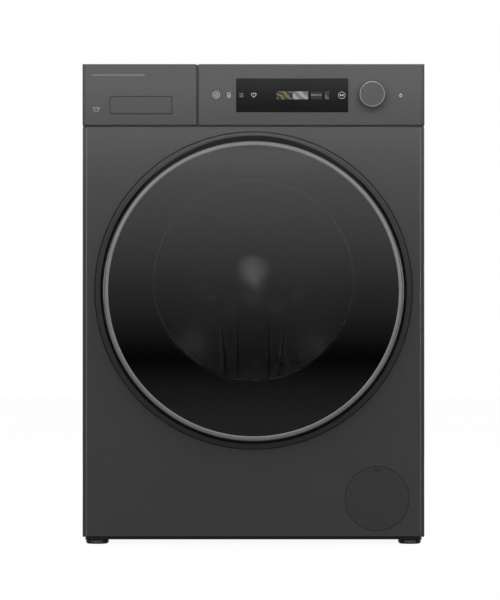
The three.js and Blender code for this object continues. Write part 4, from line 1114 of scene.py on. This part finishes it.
def pump_filter():
    """The cap of the lint filter with its grip bar, ribbed round its rim, and its hollow stem."""
    b = cad("pump_filter")
    x, z = (b.x0 + b.x1) / 2, (b.z0 + b.z1) / 2
    y = b.y0 + 10  # face of the cap, behind the grip bar
    bm = bmesh.new()
    cap = [(0, 0), (24, 0), (25.5, -0.9), (29, -0.9), (31, 0), (32, 2), (32, 8), (25, 12), (25, 96),
           (21, 96),
           (21, 18), (0, 18)]
    spun(bm, cap, x, z, sides=72, closed=False, soft=0.9, base=y)
    brick(bm, x - 24, x + 24, b.y0, y + 1, z - 4, z + 4, 3.5)
    ridge = [(0, 1.6), (1.1, 1.6), (1.1, 7), (0, 7)]
    for i in range(24):
        place = polar(x, z, 31.4, 2 * math.pi * i / 24)
        spun(bm, ridge, *place, sides=8, closed=False, soft=0.2, steps=2, base=y)
    piece("filter_cap", bm, GREY_PLASTIC, "filter", ["pump_filter"], bevel=0.35)


# ---------------------------------------------------------------- CAD pieces that keep their shape

def smoothing():
    """A node group that shades edges smooth below 32 degrees."""
    group = bpy.data.node_groups.new("shade_by_angle", "GeometryNodeTree")
    group.interface.new_socket("Geometry", in_out="INPUT", socket_type="NodeSocketGeometry")
    group.interface.new_socket("Geometry", in_out="OUTPUT", socket_type="NodeSocketGeometry")
    source = group.nodes.new("NodeGroupInput")
    result = group.nodes.new("NodeGroupOutput")
    angle = group.nodes.new("GeometryNodeInputMeshEdgeAngle")
    below = group.nodes.new("FunctionNodeCompare")
    below.data_type = "FLOAT"
    below.operation = "LESS_EQUAL"
    below.inputs[1].default_value = math.radians(32)
    edges = group.nodes.new("GeometryNodeSetShadeSmooth")
    edges.domain = "EDGE"
    faces = group.nodes.new("GeometryNodeSetShadeSmooth")
    group.links.new(source.outputs[0], edges.inputs["Geometry"])
    group.links.new(angle.outputs["Unsigned Angle"], below.inputs[0])
    group.links.new(below.outputs[0], edges.inputs["Shade Smooth"])
    group.links.new(edges.outputs[0], faces.inputs["Geometry"])
    group.links.new(faces.outputs[0], result.inputs[0])
    return group


SHADE = smoothing()
SLOTS = {entry["node"]: entry["material_slot"] for entry in frame["record"]["subparts"]}


def finish(obj, node):
    """Gives a CAD mesh its node's slot and material, and welds and smooths it with modifiers."""
    slot = SLOTS[node]
    material = DOOR_PLASTIC if node == "door_frame" else FINISHES[slot]
    obj.data.materials.clear()
    obj.data.materials.append(material)
    weld = obj.modifiers.new("weld", "WELD")
    weld.merge_threshold = 0.00001
    shade = obj.modifiers.new("shade", "NODES")
    shade.node_group = SHADE


def carry_over():
    """Every CAD node that still shows gets its slot's material, welded and smoothly shaded."""
    for node, obj in frame["nodes"].items():
        if not obj.hide_render:
            finish(obj, node)


def flexible_parts():
    """Copies of the hoses and springs between the cabinet and the tub, shaded and riding on no body."""
    for node in ("dispenser_hose", "suspension_spring_left", "suspension_spring_right", "sump_hose"):
        obj = new_object(node + "_flexible", frame["nodes"][node].data.copy())
        finish(obj, node)
        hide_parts(node)
        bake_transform(obj)


# ---------------------------------------------------------------- stage

CAMERA_PLACE = (-0.0061, -6.29, 0.4282)
LENS = 205.45  # millimetres, on a sensor 36 wide
FLOOR_HALF = 9
AMBIENT = 0.62  # strength of the soft light from the front
AMBIENT_BEHIND = 0.22
CARD_Y = -3.3
CARD_TOP = 1.1
# Height on the reflection card in metres, and brightness there.
CARD_STOPS = [(0, 0.19), (0.125, 0.138), (0.2, 0.083), (0.268, 0.014), (0.295, 0.024), (0.338, 0.068),
              (0.41, 0.16),
              (0.457, 0.21), (0.55, 0.365), (0.742, 0.7), (0.812, 0.93), (0.86, 0.6), (0.92, 0.04),
              (0.955, 0.1),
              (0.981, 0.2), (1.01, 0.31), (CARD_TOP, 0.35)]


def stage_plane(name, corners, material):
    mesh = bpy.data.meshes.new(name)
    mesh.from_pydata(corners, [], [(0, 1, 2, 3)])
    obj = new_object(name, mesh)
    mesh.materials.append(material)
    return obj


def floor():
    """A pale floor that the camera sees as white, with a soft shadow, and reflections see as grey."""
    material, tree = node_tree("pale_floor")
    matt = add(tree, "BsdfDiffuse", tinted(tree, noise(tree, 2), grey(0.16), 0.02)).outputs[0]
    white = add(tree, "Emission", Strength=0.93).outputs[0]
    both = add(tree, "AddShader", white, matt).outputs[0]
    pale = add(tree, "Emission", Strength=0.3).outputs[0]
    seen = add(tree, "LightPath").outputs
    pick = add(tree, "MixShader", seen["Is Camera Ray"], matt, both).outputs[0]
    mirrored = add(tree, "MixShader", seen["Is Glossy Ray"], pick, pale)
    add(tree, "OutputMaterial", mirrored.outputs[0])
    half = FLOOR_HALF
    stage_plane("floor", [(-half, -half, 0), (half, -half, 0), (half, half, 0), (-half, half, 0)], material)


def world():
    """White for the camera. As a light it is softer, and weaker from behind than from the front."""
    made = bpy.data.worlds.new("studio")
    bpy.context.scene.world = made
    made.use_nodes = True
    tree = made.node_tree
    tree.nodes.clear()
    split = add(tree, "SeparateXYZ", add(tree, "TexCoord").outputs["Generated"])
    level = add(tree, "MapRange", split.outputs["Y"], -0.6, 0.1, AMBIENT, AMBIENT_BEHIND)
    soft = add(tree, "Background", (1, 1, 1, 1), level.outputs["Result"])
    white = add(tree, "Background", (1, 1, 1, 1), 1.0)
    seen = add(tree, "LightPath")
    pick = add(tree, "MixShader", seen.outputs["Is Camera Ray"], soft.outputs[0], white.outputs[0])
    add(tree, "OutputWorld", pick.outputs[0])


def lamp(name, data, place, target):
    """Puts a lamp in its place, aimed at its target and not seen by the camera."""
    obj = new_object(name, data)
    obj.location = place
    obj.rotation_euler = (Vector(target) - Vector(place)).to_track_quat("-Z", "Y").to_euler()
    obj.visible_camera = False
    return obj


def area_light(name, place, target, size, power, glossy=True):
    data = bpy.data.lights.new(name, "AREA")
    data.shape = "RECTANGLE"
    data.size, data.size_y = size
    data.energy = power
    obj = lamp(name, data, place, target)
    obj.visible_glossy = glossy
    return obj


def only_reflected(card):
    card.visible_camera = False
    card.visible_diffuse = False
    card.visible_shadow = False
    card.visible_transmission = False


def reflection_card():
    """A tall card in front of the machine that only reflections see: bright above, dark at the height of the
    lower door, a little brighter again below."""
    material, tree = node_tree("card_light")
    split = add(tree, "SeparateXYZ", add(tree, "TexCoord").outputs["Object"])
    share = add(tree, "MapRange", split.outputs["Z"], From_Max=CARD_TOP)
    ramp = add(tree, "ValToRGB", share.outputs["Result"])
    stops = ramp.color_ramp.elements
    for stop, (_, value) in zip(stops, (CARD_STOPS[0], CARD_STOPS[-1])):
        stop.color = (*grey(value), 1)
    for height, value in CARD_STOPS[1:-1]:
        stops.new(height / CARD_TOP).color = (*grey(value), 1)
    glow = add(tree, "Emission", ramp.outputs["Color"], 2.0)
    add(tree, "OutputMaterial", glow.outputs[0])
    corners = [(-0.9, CARD_Y, 0), (0.9, CARD_Y, 0), (0.9, CARD_Y, CARD_TOP), (-0.9, CARD_Y, CARD_TOP)]
    only_reflected(stage_plane("reflection_card", corners, material))


def light_only(source, name):
    """Makes a lamp or card light one piece and nothing else."""
    linked = bpy.data.collections.new(source.name + "_receivers")
    linked.objects.link(bpy.data.objects[name])
    source.light_linking.receiver_collection = linked


def side_card(side, name):
    """A tall card at one side that only reflections see. It draws the light line along the rounded edges."""
    material, tree = node_tree("side_card_light")
    glow = add(tree, "Emission", Strength=12.0)
    add(tree, "OutputMaterial", glow.outputs[0])
    x, y, half, top = side * 2.7, -3.2, 0.4, 1.5
    inner, outer = (x - half, y - side * half), (x + half, y + side * half)
    corners = [(*inner, 0), (*outer, 0), (*outer, top), (*inner, top)]
    card = stage_plane("side_card_" + name, corners, material)
    only_reflected(card)
    light_only(card, "front_panel_sheet")


def lights():
    """Lamps above and round the machine, and small ones for the drum back and the gasket alone."""
    for side, name in ((-1, "left"), (1, "right")):
        side_card(side, name)
    area_light("top_strip", (0, -0.395, 0.852), (0, -0.29, 0.80), (1.3, 0.03), 0.88, glossy=False)
    area_light("face_strip", (0, -0.44, 0.76), (0, -0.29, 0.72), (1.3, 0.03), 0.37, glossy=False)
    area_light("overhead", (0, 0.3, 2.4), (0, 0.1, 0.5), (2.0, 1.2), 8)
    for side, name in ((-1, "left"), (1, "right")):
        area_light("side_fill_" + name, (side * 2.4, 2.1, 1.2), (side * 0.3, 0.1, 0.45), (1.6, 1.6), 26)
    area_light("rear_fill", (0, 2.8, 1.4), (0, 0.3, 0.5), (2.4, 1.6), 26)
    inside = [
        ("drum_fill", (0, -0.13, 0.29), (0, 0.19, 0.27), (0.26, 0.06), 0.016),
        ("drum_fill_left", (-0.13, 0.04, 0.33), (-0.14, 0.19, 0.34), (0.05, 0.05), 0.0095),
        ("drum_fill_right", (0.13, 0.04, 0.33), (0.14, 0.19, 0.34), (0.05, 0.05), 0.0095),
    ]
    for settings in inside:
        light_only(area_light(*settings), "drum_back_plate")
    mouth = area_light("mouth_fill", (0, -0.29, 0.4625), (0, 0.19, 0.4625), (0.03, 0.03), 1.6)
    light_only(mouth, "gasket_bellows")
    hub_lamp("drum_lamp_high", 0.53, 0.476, 0.75)
    hub_lamp("drum_lamp_low", 0.40, 0.452, 0.075)


def hub_lamp(name, z, aim_z, power):
    """A small lamp in the door opening, which lights the middle of the drum back."""
    data = bpy.data.lights.new(name, "SPOT")
    data.energy = power
    data.spot_size = math.radians(14)
    data.spot_blend = 1.0
    data.shadow_soft_size = 0.004
    light_only(lamp(name, data, (0, -0.13, z), (0, 0.19, aim_z)), "drum_back_plate")


def camera():
    data = bpy.data.cameras.new("camera")
    data.sensor_width = 36
    data.lens = LENS
    data.clip_end = 60
    obj = new_object("camera", data)
    obj.location = CAMERA_PLACE
    obj.rotation_euler = (math.radians(90), 0, 0)
    bpy.context.scene.camera = obj


camera()
world()
floor()
reflection_card()
bpy.context.scene.view_settings.view_transform = "Standard"

front_panel()
dish_collar()
seam_strip()
side_panel("left_side_panel", -1)
side_panel("right_side_panel", 1)
top_panel()
rear_panel()
rear_cover()
rear_fittings()
inlet_valve()
cord_gland()
for row in ("front", "rear"):
    for side in ("left", "right"):
        foot(f"foot_{row}_{side}")
control_panel()
display()
symbols()
pictures()
drawer_front()
drawer_flap()
drawer_marks()
detergent_tray()
knob()
power_button()
door()
gasket()
drum_back()
drum_shell()
for index in range(3):
    lifter(index)
filter_flap()
pump_filter()
flexible_parts()
carry_over()
lights()

bpy.context.view_layer.update()
